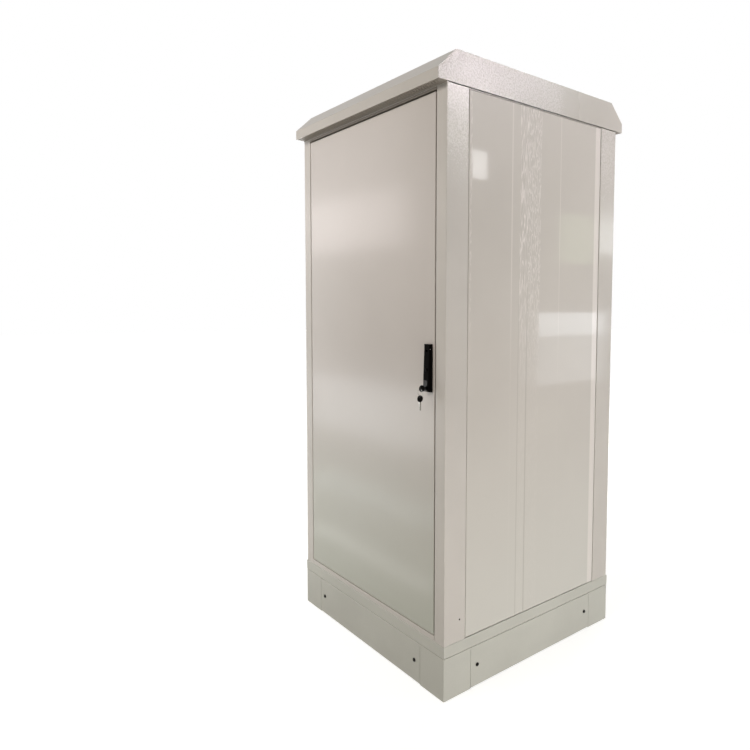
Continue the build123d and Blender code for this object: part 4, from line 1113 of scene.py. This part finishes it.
@dataclass
class RackInterior(SubAssembly):
    """Depth rails, cross bars, uprights and the earth bar."""

    bolts: int = 6
    head_sides: int = 6
    head_radius: float = 7.2 * MM
    head_height: float = 5.0 * MM
    head_chamfer: float = 0.7 * MM
    nut_height: float = 6.0 * MM
    washer_radius: float = 8.2 * MM
    washer_height: float = 1.6 * MM
    washer_chamfer: float = 0.3 * MM
    shank_radius: float = 3.7 * MM
    shank_sides: int = 16
    shank_in_head: float = 0.5 * MM
    shank_past_nut: float = 1.5 * MM

    finishes = (
        (ZINC_SHEET, "depth_rails", "cross_bars", "rack_uprights_front", "rack_uprights_rear"),
        (COPPER, "earth_bar"),
        (RED_RESIN, "earth_insulators"),
    )

    def hex_head(self, name: str, centre: Vector, height: float) -> Piece:
        """Makes a hexagon with chamfered corners, its axis along X."""
        head = drum(name, centre, self.head_radius, height, self.head_sides, TO_X)
        return chamfer_ends(head, self.head_chamfer)

    def build(self) -> None:
        """A hexagon bolt with washers and nut in each hole of the earth bar."""
        low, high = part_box("earth_bar")
        pitch = (high.y - low.y) / (self.bolts + 1)
        centre = Vector((0, low.y + pitch, (low.z + high.z) / 2))
        washers = []
        for number, start in enumerate((high.x, low.x - self.washer_height)):
            middle = centre + Vector((start + self.washer_height / 2, 0, 0))
            sizes = self.washer_radius, self.washer_height, ROUND_SIDES
            washer = drum(f"washer_{number}", middle, *sizes, TO_X)
            chamfer_ends(washer, self.washer_chamfer)
            washers.append(washer)
        head_start = high.x + self.washer_height
        nut_start = low.x - self.washer_height - self.nut_height
        middle = centre + Vector((head_start + self.head_height / 2, 0, 0))
        head = self.hex_head("head", middle, self.head_height)
        middle = centre + Vector((nut_start + self.nut_height / 2, 0, 0))
        nut = self.hex_head("nut", middle, self.nut_height)
        length = head_start - nut_start + self.shank_in_head + self.shank_past_nut
        middle = centre + Vector((head_start + self.shank_in_head - length / 2, 0, 0))
        shank = drum("shank", middle, self.shank_radius, length, self.shank_sides, TO_X)
        select(head, nut, shank, *washers)
        bpy.ops.object.join()
        bolt = settle("earth_bolt_1")
        tidy(bolt)
        for number in range(1, self.bolts + 1):
            piece = bolt
            if number > 1:
                piece = copy(bolt, f"earth_bolt_{number}", Vector((0, (number - 1) * pitch, 0)))
            mount(piece, Body.CABINET, "zinc_steel", ZINC_STEEL)


@dataclass(frozen=True)
class Softbox:
    """A flat studio lamp, given by where it stands, what it faces and how bright its face is."""

    name: str
    place: Point
    aim: Point
    width: float
    height: float
    radiance: float
    tint: str = "#ffffff"
    mirrored: bool = True

    def put_up(self) -> None:
        """Adds the lamp; Blender takes its power for the whole face."""
        lamp = bpy.data.lights.new(self.name, "AREA")
        lamp.shape = "RECTANGLE"
        lamp.size = self.width
        lamp.size_y = self.height
        lamp.energy = self.radiance * math.pi * self.width * self.height
        lamp.color = linear(self.tint)[:3]
        stand = bpy.data.objects.new(self.name, lamp)
        stand.location = self.place
        stand.rotation_euler = (Vector(self.aim) - Vector(self.place)).to_track_quat("-Z", "Y").to_euler()
        stand.visible_camera = False
        stand.visible_glossy = self.mirrored
        bpy.context.scene.collection.objects.link(stand)
        log.info("lamp %s", self.name)


@dataclass
class Studio:
    """White floor and surround, soft lamps and the camera."""

    floor_span: float = 60.0
    floor_drop: float = 0.5 * MM
    floor_tone: str = "#c9c9c4"
    floor_glow: Pair = (0.72, 1.0)
    glow_reach: Pair = (1.2, 4.0)
    floor_mirror: float = 0.6
    ambient: float = 0.08
    ceiling: float = 0.7
    ceiling_rise: Pair = (0.3, 0.6)
    lens_mm: float = 29.716
    sensor_mm: float = 36.0
    camera_place: Point = (1.89992, -1.74844, 1.28689)
    camera_turn_deg: Point = (86.413, -0.10, 51.85976)
    camera_shift: Pair = (-0.0409, -0.0385)
    lamps: tuple[Softbox, ...] = (
        Softbox("front_high", (-0.2, -5.0, 4.2), (0.0, -0.45, 1.1), 4.0, 1.6, 7.7, "#fff8f0", mirrored=False),
        Softbox("left_near", (-2.6, -1.3, 1.4), (0.0, -0.45, 1.2), 1.2, 1.6, 0.75),
        Softbox("left_window", (-2.1, -1.75, 1.93), (-2.1, 0.0, 1.93), 1.4, 0.42, 3.9, "#fff6f6"),
        Softbox("left_over", (-2.1, -1.75, 2.45), (-2.1, 0.0, 2.45), 1.4, 0.5, 1.3, "#fff6f6"),
        Softbox("left_low", (-1.9, -1.75, 0.52), (-1.9, 0.0, 0.52), 1.7, 0.42, 3.0, "#f8fbff"),
        Softbox("floor_patch", (-1.5, -1.5, 0.02), (-1.5, -1.5, 1.0), 1.42, 0.235, 1.8, "#e8fdff"),
        Softbox("floor_near", (-0.68, -0.92, 0.02), (-0.68, -0.92, 1.0), 1.07, 0.1, 1.9),
        Softbox("side_low", (3.2, -0.2, 0.25), (0.45, 0.0, 0.3), 3.0, 0.4, 14.6, "#fffbf8", mirrored=False),
        Softbox("high_front", (1.9, 0.9, 2.8), (0.45, 0.9, 2.8), 0.3, 0.22, 33.0, "#fff4fa"),
        Softbox("high_middle", (1.9, 1.25, 2.8), (0.45, 1.25, 2.8), 0.4, 0.22, 13.3, "#fdeefc"),
        Softbox("high_rear", (1.9, 1.75, 2.8), (0.45, 1.75, 2.8), 0.6, 0.22, 6.0, "#f6ffff"),
        Softbox("post_window", (1.9, 0.95, 2.46), (0.45, 0.95, 2.46), 0.16, 0.34, 14.0, "#fffff4"),
        Softbox("small_window", (1.9, 1.13, 2.207), (0.45, 1.13, 2.207), 0.15, 0.18, 8.5),
        Softbox("green_window", (1.9, 2.17, 1.8), (0.45, 2.17, 1.8), 0.42, 0.36, 1.7, "#d2eebc"),
        Softbox("rear_window", (1.9, 2.57, 1.873), (0.45, 2.57, 1.873), 0.16, 0.3, 8.8, "#f6fbff"),
        Softbox("low_window", (1.9, 2.12, 1.165), (0.45, 2.12, 1.165), 0.82, 0.17, 5.3, "#f4faff"),
        Softbox("low_sill", (1.9, 2.12, 0.9), (0.45, 2.12, 0.9), 0.82, 0.36, 2.0, "#f6fbff"),
        Softbox("rear_fill", (-1.6, 4.6, 3.4), (0.0, 0.4, 1.1), 3.0, 2.2, 4.6, mirrored=False),
        Softbox("left_fill", (-4.4, 0.9, 1.3), (-0.4, 0.0, 1.1), 2.6, 1.6, 3.4),
    )

    def seen_directly(self, tree: Tree, mirrored: Node | float) -> Node:
        """Lets white ground and sky show on rays from the camera, and in mirrors and clear bodies.

        Args:
            tree: the tree of the floor or the sky.
            mirrored: how white a mirror or a clear body shows it.

        Returns:
            1 on a ray from the camera, the given share on a mirror's ray, 0 on any other.
        """
        path = add_node(tree, "LightPath")
        rays = {0: path.outputs["Is Glossy Ray"], 1: path.outputs["Is Transmission Ray"]}
        bent = add_node(tree, "Math", rays, operation="MAXIMUM")
        shown = add_node(tree, "Math", {0: bent, 1: mirrored}, operation="MULTIPLY")
        return add_node(tree, "Math", {0: path.outputs["Is Camera Ray"], 1: shown}, operation="MAXIMUM")

    def lay_floor(self) -> None:
        """A pale floor that shows white and keeps the object's shadow."""
        bpy.ops.mesh.primitive_plane_add(size=self.floor_span, location=(0, 0, -self.floor_drop))
        floor = bpy.context.object
        floor.name = "floor"
        paint = bpy.data.materials.new("pale_floor")
        paint.use_nodes = True
        tree = paint.node_tree
        tree.nodes.clear()
        place = add_node(tree, "TexCoord").outputs["Object"]
        away = add_node(tree, "VectorMath", {0: place}, operation="LENGTH")
        near, far = self.glow_reach
        dim, full = self.floor_glow
        fade = {"Value": away.outputs["Value"], "From Min": near, "From Max": far}
        level = add_node(tree, "MapRange", fade | {"To Min": dim, "To Max": full})
        seen = self.seen_directly(tree, self.floor_mirror)
        surface = {
            "Base Color": linear(self.floor_tone),
            "Roughness": 0.9,
            "Specular IOR Level": 0.0,
            "Emission Color": (1, 1, 1, 1),
            "Emission Strength": add_node(tree, "Math", {0: seen, 1: level}, operation="MULTIPLY"),
        }
        shader = add_node(tree, "BsdfPrincipled", surface)
        add_node(tree, "OutputMaterial", {"Surface": shader})
        floor.data.materials.append(paint)

    def set_sky(self) -> None:
        """White walls where they are seen, a darker ceiling in mirrors, and a dim even light elsewhere."""
        world = bpy.data.worlds.new("white_surround")
        world.use_nodes = True
        tree = world.node_tree
        tree.nodes.clear()
        way = add_node(tree, "TexCoord").outputs["Generated"]
        rise = add_node(tree, "SeparateXYZ", {0: way}).outputs[2]
        low, high = self.ceiling_rise
        fade = {"Value": rise, "From Min": low, "From Max": high, "To Min": 1.0, "To Max": self.ceiling}
        shown = self.seen_directly(tree, add_node(tree, "MapRange", fade))
        level = add_node(tree, "Math", {0: shown, 1: self.ambient}, operation="MAXIMUM")
        sky = add_node(tree, "Background", {"Color": (1, 1, 1, 1), "Strength": level})
        add_node(tree, "OutputWorld", {"Surface": sky})
        bpy.context.scene.world = world

    def set_camera(self) -> None:
        """The camera at the photograph's place, turn and framing."""
        lens = bpy.data.cameras.new("camera")
        lens.lens = self.lens_mm
        lens.sensor_width = self.sensor_mm
        lens.shift_x, lens.shift_y = self.camera_shift
        camera = bpy.data.objects.new("camera", lens)
        camera.location = self.camera_place
        camera.rotation_euler = [math.radians(angle) for angle in self.camera_turn_deg]
        bpy.context.scene.collection.objects.link(camera)
        bpy.context.scene.camera = camera

    def set_up(self) -> None:
        """Floor, surround, lamps, camera and plain colour."""
        self.lay_floor()
        self.set_sky()
        for lamp in self.lamps:
            lamp.put_up()
        self.set_camera()
        bpy.context.scene.view_settings.view_transform = "Standard"


def main() -> None:
    """Dresses and builds each sub-assembly in order, and sets up the studio."""
    logging.basicConfig(level=logging.INFO, format="%(name)s: %(message)s")
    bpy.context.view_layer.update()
    for part in (Plinth(), Carcass(), Roof(), Door(), RodLock(), KeySet(), RackInterior()):
        part.dress()
        part.build()
    Studio().set_up()


if __name__ == "__main__":
    main()
